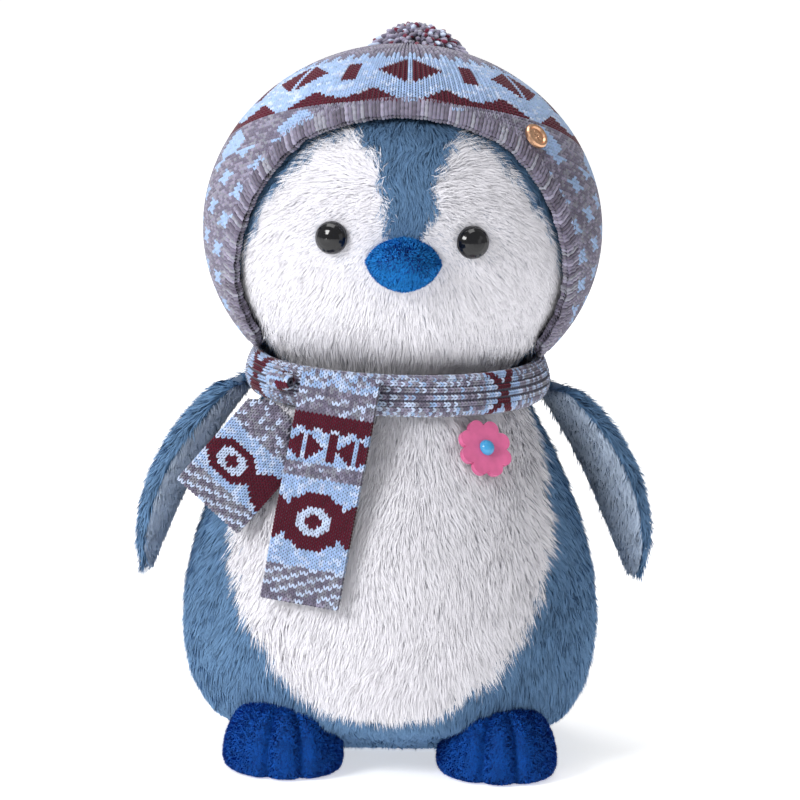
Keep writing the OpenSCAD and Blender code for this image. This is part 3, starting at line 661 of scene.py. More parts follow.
def stitches(name, place, rows, cols, yarn, width, height, thick, seed, keep=None):
    """A V of two slanting lobes for each stitch. place(row, col) gives a point, its outward normal and the
    unit vectors along the row and down the column; yarn is the class of each stitch."""
    rng = np.random.default_rng(seed)
    r, c = rows.ravel().astype(float), cols.ravel().astype(float)
    yarn = np.asarray(yarn).ravel()
    if keep is not None:
        r, c, yarn = r[keep], c[keep], yarn[keep]
    point, normal, along, down = place(r, c)
    n = len(r)
    width, height = np.broadcast_to(width, (n,))[:, None], np.broadcast_to(height, (n,))[:, None]
    shade = np.clip(0.5 + rng.normal(size=n) * 0.16, 0.05, 0.95)
    points, uvs = [], []
    # Four stations along a lobe: where it lies from the inner low end to the outer high end
    stations = [(-0.62, 0.05, 0.30, 0.0), (-0.20, 0.19, 0.95, 0.85),
                (0.28, 0.33, 1.0, 1.0), (0.72, 0.42, 0.45, 0.25)]
    for side in (-1, 1):
        lobe = []
        for place_down, out, fat, lift in stations:
            centre = point - down * place_down * height * 0.95 + along * side * out * width
            half = along * (0.20 * width * (0.5 + 0.5 * fat)) + down * side * 0.10 * height
            ridge = centre + normal * thick * (0.35 + 0.65 * lift)
            lobe.append(np.stack([centre - half, ridge, centre + half], 1))
        points.append(np.stack(lobe, 1))
        jitter = np.clip(shade + rng.normal(size=n) * 0.08, 0, 1)
        # Painted shade and highlight: v is lower at each lobe's sides and ends and higher on its ridge,
        # around a random tone for each stitch.
        level = np.array([[0.0, 0.25, 0.0], [0.1, 1.0, 0.1], [0.1, 1.0, 0.1], [0.0, 0.4, 0.0]])
        v = np.clip(jitter[:, None, None] * 0.8 + (level - 0.4) * 0.5, 0, 1)
        uvs.append(np.stack([np.broadcast_to((yarn[:, None, None] + 0.5) / 8, v.shape), v], -1))
    points = np.stack(points, 1).reshape(-1, 3)
    uv = np.stack(uvs, 1).reshape(-1, 2)
    cell = np.array([[a * 3 + b, a * 3 + b + 1, (a + 1) * 3 + b + 1, (a + 1) * 3 + b]
                     for a in range(3) for b in range(2)])
    quads = (np.arange(n * 2)[:, None, None] * 12 + cell).reshape(-1, 4)
    tops = points.reshape(-1, 12, 3)
    facing = np.cross(tops[:, 2] - tops[:, 0], tops[:, 9] - tops[:, 0])
    out = np.repeat(normal[:, None], 2, 1).reshape(-1, 3)
    flip = (facing * out).sum(-1) < 0
    quads = quads.reshape(-1, 6, 4)
    quads[flip] = quads[flip][:, :, ::-1]
    return make_mesh(name, points, YARN, quads.reshape(-1, 4), uv=uv)


# ---------- hat ----------
CROWN_TILT = 27.0
ROW_H = 1.65
HAT_RY = 80.0


def hat_surface(d, out):
    """The hat's surface in the direction d of the head's frame."""
    x, y, z = d[..., 0], d[..., 1], d[..., 2]
    return np.stack([(HEAD[0] + out) * x, (HEAD[1] + out) * y,
                     (HEAD[2] + out + CROWN_RISE * np.clip(z, 0, 1)) * z], -1)


def crown_direction(theta, phi):
    """Unit vectors at polar angle theta from the crown's axis; phi from the front toward +X, in degrees."""
    theta, phi = rad(theta), rad(phi)
    x, y, z = np.sin(theta) * np.sin(phi), -np.sin(theta) * np.cos(phi), np.cos(theta) + 0 * phi
    t = rad(-CROWN_TILT)
    return np.stack([x, y * math.cos(t) - z * math.sin(t), y * math.sin(t) + z * math.cos(t)], -1)


def crown_place(theta, phi, out):
    """Where a stitch lies on the hat: its point, its normal and the directions along its row and down."""
    p = hat_surface(crown_direction(theta, phi), out)
    lower = hat_surface(crown_direction(theta + 0.5, phi), out)
    beside = hat_surface(crown_direction(theta, phi + 0.5), out)
    down, along = unit(lower - p), unit(beside - p)
    normal = unit(np.cross(along, -down))
    return head_frame(p), head_turned(normal), head_turned(along), head_turned(down)


HILL = [0, 0, 1, 2, 3, 4, 5, 5, 4, 3, 3, 2, 2]


def band_yarn(up, c, rng):
    """Yarn of the stitch that is up rows over the rib and in column c, in a pattern 24 columns wide."""
    d = np.abs((c % 24) - 12)
    hill = np.array(HILL)[d.astype(int)]
    yarn = np.full(up.shape, LIGHT)
    yarn[rng.random(up.shape) < 0.18] = PALE
    yarn[up < hill] = BURGUNDY
    # A pair of triangles with their straight edges to a light line, and a square between the pairs
    tri = (up >= 8) & (up <= 18) & (d >= 1) & (d - 1 <= 5.6 - np.abs(up - 13) * 1.1)
    yarn[tri] = BURGUNDY
    square = (up >= 9) & (up <= 16) & (d >= 10.6)
    yarn[square] = BURGUNDY
    yarn[(up < hill) & (d <= 1)] = LIGHT
    dash = (up >= 21) & (up <= 23)
    yarn[dash] = np.where((c + (up == 22)) % 4 < 2, LIGHT, MAUVE)[dash]
    crown = up > 23
    marl = rng.random(up.shape)
    yarn[crown] = np.where(marl < 0.5, MAUVE, np.where(marl < 0.85, LILAC, GREY))[crown]
    return yarn


def flap_yarn(down, c, rng):
    """The mauve sides, with small light diamonds in a checker and larger ones near the band."""
    marl = rng.random(down.shape)
    yarn = np.where(marl < 0.55, MAUVE, np.where(marl < 0.85, LILAC, GREY))
    for size, period, first, last in ((3.1, 12, 9, 60), (6.4, 22, 0, 9)):
        line = np.floor(down / (period / 2))
        x = (c + line * period / 2) % period - period / 2
        y = down % (period / 2) - period / 4
        spot = (np.abs(x) + np.abs(y) * 1.2 < size) & (down >= first) & (down < last)
        yarn[spot] = LIGHT
    return yarn


# The band's lower edge, in degrees from the crown's axis, and the width of one rib of the edging
RIB_THETA = 64.5
RIB_STEP = 1.75


def knit_row(theta, columns, yarn):
    """For each stitch in a row of the hat: its angle from the crown, its place round it, yarn and width."""
    return (np.full(columns, theta), 360 / columns * (np.arange(columns) + 0.5), yarn,
            np.full(columns, 360 / columns))


def build_hat():
    rng = np.random.default_rng(60)
    per_row = ROW_H / HAT_RY * 57.3
    # The cloth: a smooth ground just under the stitches, thick at its edge, dark as painted shade between the
    # stitches
    turns = np.linspace(0, 360, 120, endpoint=False)
    mirrored = np.minimum(turns, 360 - turns)
    edge = np.interp(mirrored, EDGE_TURNS, EDGE_ANGLES) - EDGING_ANGLE * 0.5
    share = np.linspace(0.02, 1, 40)[:, None]
    d = edge_direction(turns[None], share * edge)
    outer = hat_surface(d, KNIT_OUT + KNIT_T - 1.3)
    inner = hat_surface(d, KNIT_OUT)
    shell = np.concatenate([outer, inner[::-1]])
    cloth = grid_mesh("hat_cloth", head_frame(shell[:, ::-1]), True, KNIT_SHADE_GROUND)
    finish_piece(cloth, "head", ("hat_shell",))
    pieces = []
    # The band and the crown: rows from the band's foot up to the top, with fewer columns near the top
    rows = []
    for row in range(int(RIB_THETA / per_row) + 1):
        theta = RIB_THETA - row * per_row
        if theta < 9:
            break
        columns = 192 if theta > 42 else (96 if theta > 20 else 48)
        yarn = band_yarn(np.full(columns, row), np.arange(columns) * (192 // columns), rng)
        rows.append(knit_row(theta, columns, yarn))
    theta, phi, colours, step = (np.concatenate(v) for v in zip(*rows))
    phi = phi + 360 / 192 * 12
    add_hat_stitches("hat_stitches_crown", theta, phi, colours, step, pieces, 61)
    # The sides and the back under the band
    rows = []
    row = 1
    while RIB_THETA + row * per_row < 150:
        theta = RIB_THETA + row * per_row
        columns = 256 if theta < 120 else 192
        yarn = flap_yarn(np.full(columns, row - 1), np.arange(columns), rng)
        rows.append(knit_row(theta, columns, yarn))
        row += 1
    theta, phi, colours, step = (np.concatenate(v) for v in zip(*rows))
    add_hat_stitches("hat_stitches_sides", theta, phi, colours, step, pieces, 62)


def add_hat_stitches(name, theta, phi, colours, step, pieces, seed):
    inside = edge_reach(hat_surface(crown_direction(theta, phi), 0)) > EDGING_ANGLE * 0.8
    index = np.arange(len(theta))

    def place(i, _):
        i = i.astype(int)
        return crown_place(theta[i], phi[i], KNIT_OUT + KNIT_T - 1.2)
    width = 2 * math.pi * HAT_RY * np.sin(rad(theta)) * step / 360
    obj = stitches(name, place, index, index * 0, colours, width[inside], ROW_H, 1.3, seed, keep=inside)
    finish_piece(obj, "head")
    pieces.append(obj)


def tube(centres, normals, radius, sides=6, squash=1.0):
    """Rings of points round a line; normals lie across the line."""
    along = unit(np.gradient(centres, axis=0))
    across = unit(np.cross(along, normals))
    normals = np.cross(across, along)
    a = np.linspace(0, 2 * math.pi, sides, endpoint=False)
    radius = np.broadcast_to(radius, (len(centres),))[:, None, None]
    return centres[:, None] + radius * (np.cos(a)[None, :, None] * across[:, None] * squash
                                        + np.sin(a)[None, :, None] * normals[:, None])


def build_edging():
    """Ribs that run across the edging, each a short fat roll of yarn from the hat's cloth over the edge."""
    rng = np.random.default_rng(64)
    turns = np.linspace(0, 360, 721)[:-1]
    mirrored = np.minimum(turns, 360 - turns)
    edge = np.interp(mirrored, EDGE_TURNS, EDGE_ANGLES)
    line = hat_surface(edge_direction(turns, edge), 4)
    gaps = np.linalg.norm(np.roll(line, -1, 0) - line, axis=1)
    distance = np.concatenate([[0], np.cumsum(gaps)])
    count = int(distance[-1] / RIB_STEP)
    ribs = np.interp(np.arange(count) / count * distance[-1], distance, np.arange(721) * 0.5)
    stations = np.linspace(0, 1, 9)
    all_points, all_uv = [], []
    for k, turn in enumerate(ribs):
        e = float(np.interp(min(turn, 360 - turn), EDGE_TURNS, EDGE_ANGLES))
        angles = e - EDGING_ANGLE * 1.05 + EDGING_ANGLE * 1.02 * np.minimum(stations / 0.72, 1)
        angles = angles - np.clip(stations - 0.80, 0, 1) * EDGING_ANGLE * 0.6
        outs = np.where(stations < 0.72, 4.9, 4.9 - (stations - 0.72) / 0.28 * 3.4)
        outs = outs + 0.35 * np.sin(stations * 22 + k)
        centres = hat_surface(edge_direction(np.full(9, turn), angles), outs)
        d = unit(centres / np.array(HEAD) ** 2)
        width = 0.98 * (1 + 0.10 * np.sin(stations * 22 + k * 1.3)) * (1 + 0.06 * rng.normal())
        rings = tube(centres, d, width, sides=6)
        all_points.append(rings.reshape(-1, 3))
        tone = rng.random()
        yarn = [DARK, MAUVE, GREY, LILAC][0 if tone < 0.26 else 1 if tone < 0.72 else 2 if tone < 0.9 else 3]
        # Painted shade and highlight: v rises where the rib swells and falls where it pinches in, with random
        # tone.
        v = np.clip(0.5 + 0.22 * np.sin(stations * 22 + k * 1.3) + rng.normal(size=9) * 0.12, 0, 1)
        uv = np.stack([np.full((9, 6), (yarn + 0.5) / 8), np.repeat(v[:, None], 6, 1)], -1)
        all_uv.append(uv.reshape(-1, 2))
    quads = np.concatenate([grid_quads(9, 6, True, start=54 * k) for k in range(len(ribs))])
    obj = make_mesh("hat_ribbing", head_frame(np.concatenate(all_points)), YARN, quads[:, ::-1],
                    uv=np.concatenate(all_uv))
    finish_piece(obj, "head", ("hat_edging",))


# The pompom leans back from the top of the head; its strands and its half width and height
POMPOM_TILT, POMPOM_STRANDS, POMPOM_R, POMPOM_H = 24, 1300, 24.5, 11.5


def build_pompom():
    rng = np.random.default_rng(70)
    n = POMPOM_STRANDS
    # Directions over a dome, a little flattened, with the yarn standing out of a knot under it
    z = rng.uniform(-0.25, 1, n)
    a = rng.uniform(0, 2 * math.pi, n)
    d = np.stack([np.sqrt(1 - z * z) * np.cos(a), np.sqrt(1 - z * z) * np.sin(a), z], -1)
    reach = 1 / np.sqrt((d[:, 0] ** 2 + d[:, 1] ** 2) / POMPOM_R ** 2 + (d[:, 2] / POMPOM_H) ** 2)
    reach = reach * rng.uniform(0.86, 1.07, n)
    lean = rng.normal(size=(n, 3)) * 0.16
    stations = np.array([0.45, 0.75, 0.95, 1.0])
    radii = np.array([0.8, 1.15, 1.2, 0.6])
    centres = (d[:, None] * (reach[:, None] * stations)[..., None]
               + lean[:, None] * (stations ** 2 * 5)[None, :, None])
    centres[..., 2] -= 0.012 * (centres[..., 0] ** 2 + centres[..., 1] ** 2) + 0.6
    across = unit(np.cross(d, rng.normal(size=(n, 3))))
    other = np.cross(d, across)
    sides = 6
    ring = np.linspace(0, 2 * math.pi, sides, endpoint=False)
    cos, sin = np.cos(ring)[None, None, :, None], np.sin(ring)[None, None, :, None]
    rings = centres[:, :, None] + radii[None, :, None, None] * (cos * across[:, None, None]
                                                                + sin * other[:, None, None])
    caps = centres[:, -1:] + d[:, None] * 0.3
    points = np.concatenate([rings.reshape(n, -1, 3), caps], 1)
    per = 4 * sides + 1
    quads = grid_quads(4, sides, True)[None] + np.arange(n)[:, None, None] * per
    tris = np.array([[3 * sides + k, 3 * sides + (k + 1) % sides, 4 * sides] for k in range(sides)])
    tris = tris[None] + np.arange(n)[:, None, None] * per
    tone = rng.random(n)
    yarn = np.select([tone < 0.34, tone < 0.60, tone < 0.80, tone < 0.90], [MAUVE, LILAC, WINE, PALE], GREY)
    # Painted shade: v is low at the strands' roots by the knot and rises toward their tips, with random tone.
    v = np.clip(np.array([0.0] * sides + [0.35] * sides + [0.7] * sides + [0.8] * sides + [0.9])[None]
                + rng.normal(size=(n, 1)) * 0.15, 0, 1)
    uv = np.stack([np.broadcast_to((yarn[:, None] + 0.5) / 8, v.shape), v], -1)
    tilt = rad(POMPOM_TILT)
    base = np.array([4.0, (HEAD[1] + 6.2) * math.sin(tilt), (HEAD[2] + 8.8) * math.cos(tilt)])
    local = placed(points.reshape(-1, 3), [turn_about("X", -POMPOM_TILT)], base)
    obj = make_mesh("pompom_yarn", head_frame(local), YARN, quads.reshape(-1, 4), tris.reshape(-1, 3),
                    uv.reshape(-1, 2))
    finish_piece(obj, "head", ("pompom",))


# ---------- scarf ----------
TAIL_W = 37.0
TAIL_COLS = 18
TAIL_ROW = 1.6
FRONT_LEAN, BACK_LEAN = 15.0, 12.0
FRONT_SLANT, BACK_SLANT = 4.0, 38.0
# The back tail is cut off level under the band and beside the front tail, in the band's frame
BACK_TOP, BACK_SIDE = 6.5, -30.6
# Radius and height of the middle of the band
BAND_R, BAND_Z = 64, 171


def at_band(points, angle, r, z):
    return placed(points + [0, -r, z], [turn_about("Z", -angle)], (0, 0, 0))


def turned(points, lean, slant):
    return placed(points, [turn_about("Y", slant), turn_about("X", -lean)], (0, 0, 0))


def front_tail_frame(points):
    return at_band(turned(points, FRONT_LEAN, FRONT_SLANT), 25, 69.5, 180)


def back_tail_band(points):
    return turned(points, BACK_LEAN, BACK_SLANT) + [-32, 0, 0]


def back_tail_frame(points):
    return at_band(back_tail_band(points), 20, 66, 159)


def tail_face(x, down, face, bend):
    """A tail's surface in its own frame: face is -1 in front and 1 behind."""
    curl = 0.9 * np.clip(np.abs(x) / 18.5, 0, 1) ** 6
    middle = -2.5 + 0.45 * np.sin(down / 15.0 + bend) - 0.5 * np.sin(x / 8.0 + bend) * 0.5 - curl * 0.6
    half = 1.35 * np.sqrt(np.clip(1 - (np.abs(x) / 19.2) ** 8, 0.05, 1))
    return np.stack([x, middle + face * half, -down], -1)


def marl(shape, rng, light=0.0):
    """Two or three yarns twisted together, with a share of light blue."""
    t = rng.random(shape)
    out = np.where(t < 0.42, MAUVE, np.where(t < 0.66, GREY, np.where(t < 0.84, LILAC, PALE)))
    return np.where(rng.random(shape) < light, LIGHT, out)


def dotted(row, col, rng):
    """Mauve rows with pale stitches in every second column of every second row."""
    base = np.where(rng.random(row.shape) < 0.6, MAUVE, GREY)
    dots = ((row + (col // 2)) % 3 == 0)
    return np.where(dots, PALE, base)


def ring_motif(x, y, ring_x, ring_y, yarn):
    """A light ring round a small cross, on the burgundy."""
    ring = np.hypot(x / ring_x, y / ring_y)
    yarn = np.where(ring < 1, PALE, yarn)
    cross = (np.abs(x) < 1.6) & (np.abs(y) < 0.9) | (np.abs(x) < 0.9) & (np.abs(y) < 2.1)
    return np.where(cross, BURGUNDY, yarn)


def front_chart(row, col, rng):
    x = col - (TAIL_COLS - 1) / 2
    yarn = np.where(rng.random(row.shape) < 0.3, PALE, LIGHT)
    top = marl(row.shape, rng, 0.0)
    stripes = np.where((col % 2 == 0) | (rng.random(row.shape) < 0.3), LIGHT, PALE)
    yarn = np.where(row < 12, top, yarn)
    yarn = np.where((row < 5) & (rng.random(row.shape) < 0.7), stripes, yarn)
    yarn = np.where((row >= 7) & (row < 9), dotted(row, col, rng), yarn)
    peak = np.abs((col + 0.5) % 4 - 2) * 1.6
    yarn = np.where((row >= 12) & (row < 14.5 + peak), BURGUNDY, yarn)
    up = row - 21
    for line, point in ((3, -1), (3, 1), (15, -1), (15, 1)):
        from_line = (col - line) * point
        inside = (from_line >= 1) & (from_line <= 4.6 - np.abs(up) * 0.9) & (np.abs(up) <= 4)
        yarn = np.where(inside, BURGUNDY, yarn)
    yarn = np.where((np.abs(col - 9.5) < 1.1) & (np.abs(up + 0.5) < 3.6), BURGUNDY, yarn)
    yarn = np.where((row >= 26) & (row < 30), marl(row.shape, rng), yarn)
    y = row - 41.5
    body = (np.abs(x) / 7.6) ** 2 + (y / 8.0) ** 2 < 1
    wedge = (np.abs(x) > 5.2) & (np.abs(y) < 1.5 + (np.abs(x) - 4.4) * 1.15)
    yarn = np.where(body | wedge, BURGUNDY, yarn)
    yarn = ring_motif(x, y, 4.1, 4.0, yarn)
    yarn = np.where(row >= 55, dotted(row, col, rng), yarn)
    return np.where(row >= 63, marl(row.shape, rng), yarn)


def back_chart(row, col, rng):
    x = col - 6.0
    yarn = np.where(rng.random(row.shape) < 0.3, PALE, LIGHT)
    yarn = np.where(row < 11, marl(row.shape, rng), yarn)
    y = row - 19.5
    body = (np.abs(x) / 6.5) ** 2 + (y / 5.4) ** 2 < 1
    wedge = (np.abs(x) > 5.0) & (np.abs(y) < 0.6 + (np.abs(x) - 4.6) * 0.9)
    yarn = np.where(body | wedge, BURGUNDY, yarn)
    yarn = ring_motif(x, y, 3.4, 3.2, yarn)
    return np.where(row >= 27, dotted(row, col, rng), yarn)


def build_tail(name, length, frame_of, band_of, chart, body, node, seed, bend):
    rng = np.random.default_rng(seed)

    def kept(points):
        if band_of is None:
            return np.full(len(points), True)
        q = band_of(points)
        return (q[:, 2] < BACK_TOP - 0.6) & (q[:, 0] < BACK_SIDE + 0.1)
    # The cloth under the stitches, dark as painted shade between them
    xs, downs = np.linspace(-18.0, 18.0, 19), np.linspace(0.4, length - 0.6, int(length / 2.5))
    x, down = np.meshgrid(xs, downs)
    front, back = tail_face(x, down, -0.8, bend), tail_face(x, down, 0.8, bend)
    if band_of is not None:
        for face in (front, back):
            q = band_of(face.reshape(-1, 3))
            up, beside = np.maximum(q[:, 2] - BACK_TOP, 0), np.maximum(q[:, 0] - BACK_SIDE, 0)
            shift = turn_back(np.stack([-beside, 0 * up, -up], -1), BACK_LEAN, BACK_SLANT)
            face += shift.reshape(face.shape)
    loop = np.concatenate([front, back[:, ::-1]], 1)[::-1]
    rows, cols = loop.shape[:2]
    ends = np.array([[k, k + 1, cols - 2 - k, cols - 1 - k] for k in range(cols // 2 - 1)])
    quads = np.concatenate([grid_quads(rows, cols, True), ends[:, ::-1], ends + (rows - 1) * cols])
    cloth = make_mesh(name + "_cloth", frame_of(loop.reshape(-1, 3)), KNIT_SHADE_GROUND, quads)
    finish_piece(cloth, body, (node,))
    pieces = []
    for face, label in ((-1, "_stitches"), (1, "_back_stitches")):
        r, c = cells(int(length / TAIL_ROW), TAIL_COLS)
        yarn = chart(r, c.astype(float), rng)

        def place(row, col):
            x = (col + 0.5 - TAIL_COLS / 2) * TAIL_W / TAIL_COLS
            down = (row + 0.6) * TAIL_ROW
            p = tail_face(x, down, face, bend)
            below, beside = tail_face(x, down + 0.3, face, bend), tail_face(x + 0.3, down, face, bend)
            q = frame_of(p)
            d, a = unit(frame_of(below) - q), unit(frame_of(beside) - q)
            return q, unit(np.cross(a, -d)) * (-face), a, d
        local = tail_face((c + 0.5 - TAIL_COLS / 2) * TAIL_W / TAIL_COLS, (r + 0.6) * TAIL_ROW, face, bend)
        obj = stitches(name + label, place, r, c, yarn, TAIL_W / TAIL_COLS * 1.02, TAIL_ROW, 1.15,
                       seed + face + 2, keep=kept(local))
        finish_piece(obj, body)
        pieces.append(obj)
    return cloth, pieces


def turn_back(vectors, lean, slant):
    """Vectors of the band's frame in the tail's own."""
    m = turn_about("Y", slant) @ turn_about("X", -lean)
    return vectors @ m


def build_front_tail():
    cloth, pieces = build_tail("front_tail", 104.0, front_tail_frame, None, front_chart, "front_tail",
                               "scarf_front_tail", 80, 0.0)


def build_back_tail():
    cloth, pieces = build_tail("back_tail", 55.0, back_tail_frame, back_tail_band, back_chart, "back_tail",
                               "scarf_back_tail", 90, 1.0)


def band_surface(turn, t, inset=0.0):
    """The band's section: t = 0 is the inside of its top, and t = 1 the inside of its bottom."""
    angle = rad(150 - 300 * np.asarray(t))
    t = np.asarray(t) * math.pi
    fold = 0.9 * np.sin(t * 4 + 0.6 * np.sin(turn * 2) + 0.8) * np.sin(t)
    half_r, half_z = 4.0 - inset + fold * 0.9, 9.0 - inset
    r = BAND_R + half_r * np.sign(np.cos(angle)) * np.abs(np.cos(angle)) ** 0.7
    z = BAND_Z + half_z * np.sign(np.sin(angle)) * np.abs(np.sin(angle)) ** 0.9
    return np.stack([r * np.sin(turn), -r * np.cos(turn), z + 0 * turn], -1)


def band_chart(row, col, columns, rng):
    """The scarf's pattern runs round the neck: marl, light blue and burgundy bars."""
    total = row.max() + 1
    angle = (row / total * 360 + 180) % 360 - 180
    yarn = marl(row.shape, rng, 0.1)
    x = col - (columns - 1) / 2
    for middle, half in ((40, 9), (-75, 12), (120, 12), (-150, 12), (170, 10)):
        off = (angle - middle + 180) % 360 - 180
        inside = np.abs(off) < half
        light = np.where(rng.random(row.shape) < 0.3, PALE, LIGHT)
        yarn = np.where(inside, light, yarn)
        cross = inside & (np.abs(np.abs(off) / half * (columns / 2) - np.abs(x)) < 1.7)
        yarn = np.where(cross, BURGUNDY, yarn)
    dots = ((row + col) % 3 == 0) & (rng.random(row.shape) < 0.8)
    return np.where(dots & (yarn == MAUVE), PALE, yarn)


FOLD_ANGLE = 51


def fold_radius(x):
    return (3.7 + 0.3 * np.sin(x * 1.3)) * np.sqrt(np.clip(1 - (np.abs(x) / 7.0) ** 3, 0.002, 1))


def build_scarf():
    rng = np.random.default_rng(100)
    turns = np.linspace(0, 2 * math.pi, 160, endpoint=False)
    t = np.linspace(0, 1, 30)
    outer = band_surface(turns[None], t[::-1][:, None], 0.9)
    # The dark cloth under the band's stitches is painted shade between them.
    cloth = grid_mesh("scarf_cloth", outer, True, KNIT_SHADE_GROUND)
    finish_piece(cloth, "torso", ("scarf_wrap",))
    columns, count = 13, 262
    r, c = cells(count, columns)

    def place(row, col):
        turn = row / count * 2 * math.pi
        s = 0.08 + 0.84 * (col + 0.5) / columns
        p = band_surface(turn, s)
        down = unit(band_surface(turn + 0.005, s) - p)
        along = unit(band_surface(turn, s + 0.004) - p)
        normal = unit(np.cross(along, down))
        out = p - np.stack([BAND_R * np.sin(turn), -BAND_R * np.cos(turn), BAND_Z + 0 * turn], -1)
        normal *= np.sign((normal * out).sum(-1, keepdims=True))
        return p - normal * 0.6, normal, along, down
    yarn = band_chart(r, c.astype(float), columns, rng)
    obj = stitches("scarf_stitches", place, r, c, yarn, 2.25, 1.62, 1.1, 101)
    finish_piece(obj, "torso")
    # The small fold beside the front tail
    a = np.linspace(0, 2 * math.pi, 24, endpoint=False)
    x = np.linspace(-6.9, 6.9, 15)
    r0 = fold_radius(x)
    roll = np.stack([x[:, None] + 0 * a, r0[:, None] * np.sin(a)[None], r0[:, None] * np.cos(a)[None]], -1)

    def loop_frame(p):
        return at_band(p, FOLD_ANGLE, 73, 174)
    # The dark cloth under the fold's stitches is painted shade between them.
    fold = grid_mesh("scarf_fold_cloth", loop_frame(roll), True, KNIT_SHADE_GROUND)
    finish_piece(fold, "torso", ("scarf_loop",))
    r, c = cells(16, 7)

    def loop_place(row, col):
        angle, px = row / 16 * 2 * math.pi, (col - 3) * 2.0
        normal = np.stack([0 * angle, np.sin(angle), np.cos(angle)], -1)
        p = np.stack([px, 0 * px, 0 * px], -1) + normal * (fold_radius(px) - 0.1)[:, None]
        down = np.stack([0 * angle, np.cos(angle), -np.sin(angle)], -1)
        along = np.tile([1.0, 0, 0], (len(row), 1))
        turn = [turn_about("Z", -FOLD_ANGLE)]
        return loop_frame(p), *(placed(v, turn, (0, 0, 0)) for v in (normal, along, down))
    yarn = np.where((c >= 4) & (r % 8 < 5), BURGUNDY, marl(r.shape, rng, 0.3))
    yarn = np.where((c >= 5) & (r % 8 < 2), PALE, yarn)
    bits = stitches("scarf_fold_stitches", loop_place, r, c, yarn, 2.1, 1.5, 1.0, 102)
    finish_piece(bits, "torso")


# ---------- hard and small pieces ----------
def hard_material(name, colour, rough, metallic=0.0, coat=0.0, vary=0.06, scale=300, bump=0.08):
    """A moulded or polished surface with a little mottling, haze and unevenness."""
    material, tree, shader = node_material(name, {
        "Metallic": metallic, "Coat Weight": coat, "Coat Roughness": 0.05})
    noise = noise_node(tree, scale, 4)
    tint = ramp_node(tree, [(0.3, tuple(c * (1 - vary) for c in colour)),
                            (0.7, tuple(min(1.0, c * (1 + vary)) for c in colour))])
    haze = new_node(tree, "MapRange", {"To Min": rough * 0.8, "To Max": rough * 1.25})
    link_nodes(tree, (noise, "Fac", tint, "Fac"), (tint, "Color", shader, "Base Color"),
               (noise, "Fac", haze, "Value"), (haze, "Result", shader, "Roughness"))
    bump_from(tree, noise, shader, bump, 0.0004)
    return material


def dress_node(node, material):
    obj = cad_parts[node]
    obj.data.materials.clear()
    obj.data.materials.append(material)


def build_base():
    """The flat cloth that the toy sits on, drawn in under the front as the belly's bowl is."""
    turns = np.linspace(0, 2 * math.pi, 72, endpoint=False)
    rim = np.stack([body_profile(t, BODY_INSET)[0] for t in turns])
    rows = []
    for share, level in ((0.02, 0.35), (0.5, 0.35), (0.9, 0.35), (1.0, 0.9)):
        r = rim[:, 0] * share
        z = level + (rim[:, 1] - 1.5) * (share ** 4)
        rows.append(np.stack([r * np.sin(turns), -r * np.cos(turns), z], -1))
    obj = grid_mesh("base_cloth", np.stack(rows), True, BLUE_GROUND)
    finish_piece(obj, "torso", ("base_panel",))


def build_button_relief():
    """A generic ring of five leaves, raised a little from the button's face."""
    low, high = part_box("hat_button")
    a, e = rad(51), rad(36)
    local = np.array([math.cos(e) * math.sin(a), -math.cos(e) * math.cos(a), math.sin(e)])
    n = unit(local / np.array(HEAD))
    n = head_turned(n[None])[0]
    centre = np.array([(low[k] + high[k]) / 2 for k in range(3)]) / MM
    across = unit(np.cross([0, 0, 1.0], n))
    up = np.cross(n, across)
    corners = np.array([[v.co.x, v.co.y, v.co.z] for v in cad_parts["hat_button"].data.vertices]) / MM
    reach = corners - centre
    radial = np.linalg.norm(reach - (reach @ n)[:, None] * n, axis=1)
    face = (reach @ n)[radial < 3.0].max()
    points, quads, tris = [], [], []
    for k in range(5):
        turn = k / 5 * 2 * math.pi
        d = np.array([math.sin(turn), math.cos(turn)])
        s = np.array([d[1], -d[0]])
        start = len(points)
        outline = [(0.5, 0.0), (1.3, 0.62), (2.2, 0.5), (2.9, 0.0), (2.2, -0.5), (1.3, -0.62)]
        for u, v, height in [(*p, -0.1) for p in outline] + [(u, 0, 0.42) for u in (0.9, 1.7, 2.5)]:
            q = d * u + s * v
            points.append(centre + across * q[0] + up * q[1] + n * (face + height))
        ridge = [start + 6, start + 7, start + 8]
        tris += [[start, ridge[0], start + 1], [start, start + 5, ridge[0]],
                 [start + 3, start + 2, ridge[2]], [start + 3, ridge[2], start + 4]]
        quads += [[start + 1, ridge[0], ridge[1], start + 2], [start + 5, start + 4, ridge[1], ridge[0]]]
        tris += [[start + 2, ridge[1], ridge[2]], [start + 4, ridge[2], ridge[1]]]
    obj = make_mesh("hat_button_relief", np.array(points), ROSE_GOLD, quads, tris)
    finish_piece(obj, "head")


ROSE_GOLD = hard_material("rose_gold_metal", (0.72, 0.42, 0.26), 0.28, metallic=1.0,
                          vary=0.12, scale=500, bump=0.25)
EYE_GLOSS = hard_material("black_eye_gloss", (0.004, 0.004, 0.006), 0.12, vary=0.3, scale=120, bump=0.02)
PINK_GLOSS = hard_material("pink_petal_gloss", (0.66, 0.125, 0.29), 0.30, coat=0.35,
                           vary=0.14, scale=140, bump=0.22)
FLOWER_BLUE = hard_material("flower_centre_gloss", (0.045, 0.32, 0.62), 0.30, coat=0.3, vary=0.1, scale=200)
PLASTIC = hard_material("washer_plastic", (0.75, 0.76, 0.78), 0.45, vary=0.05, scale=400)


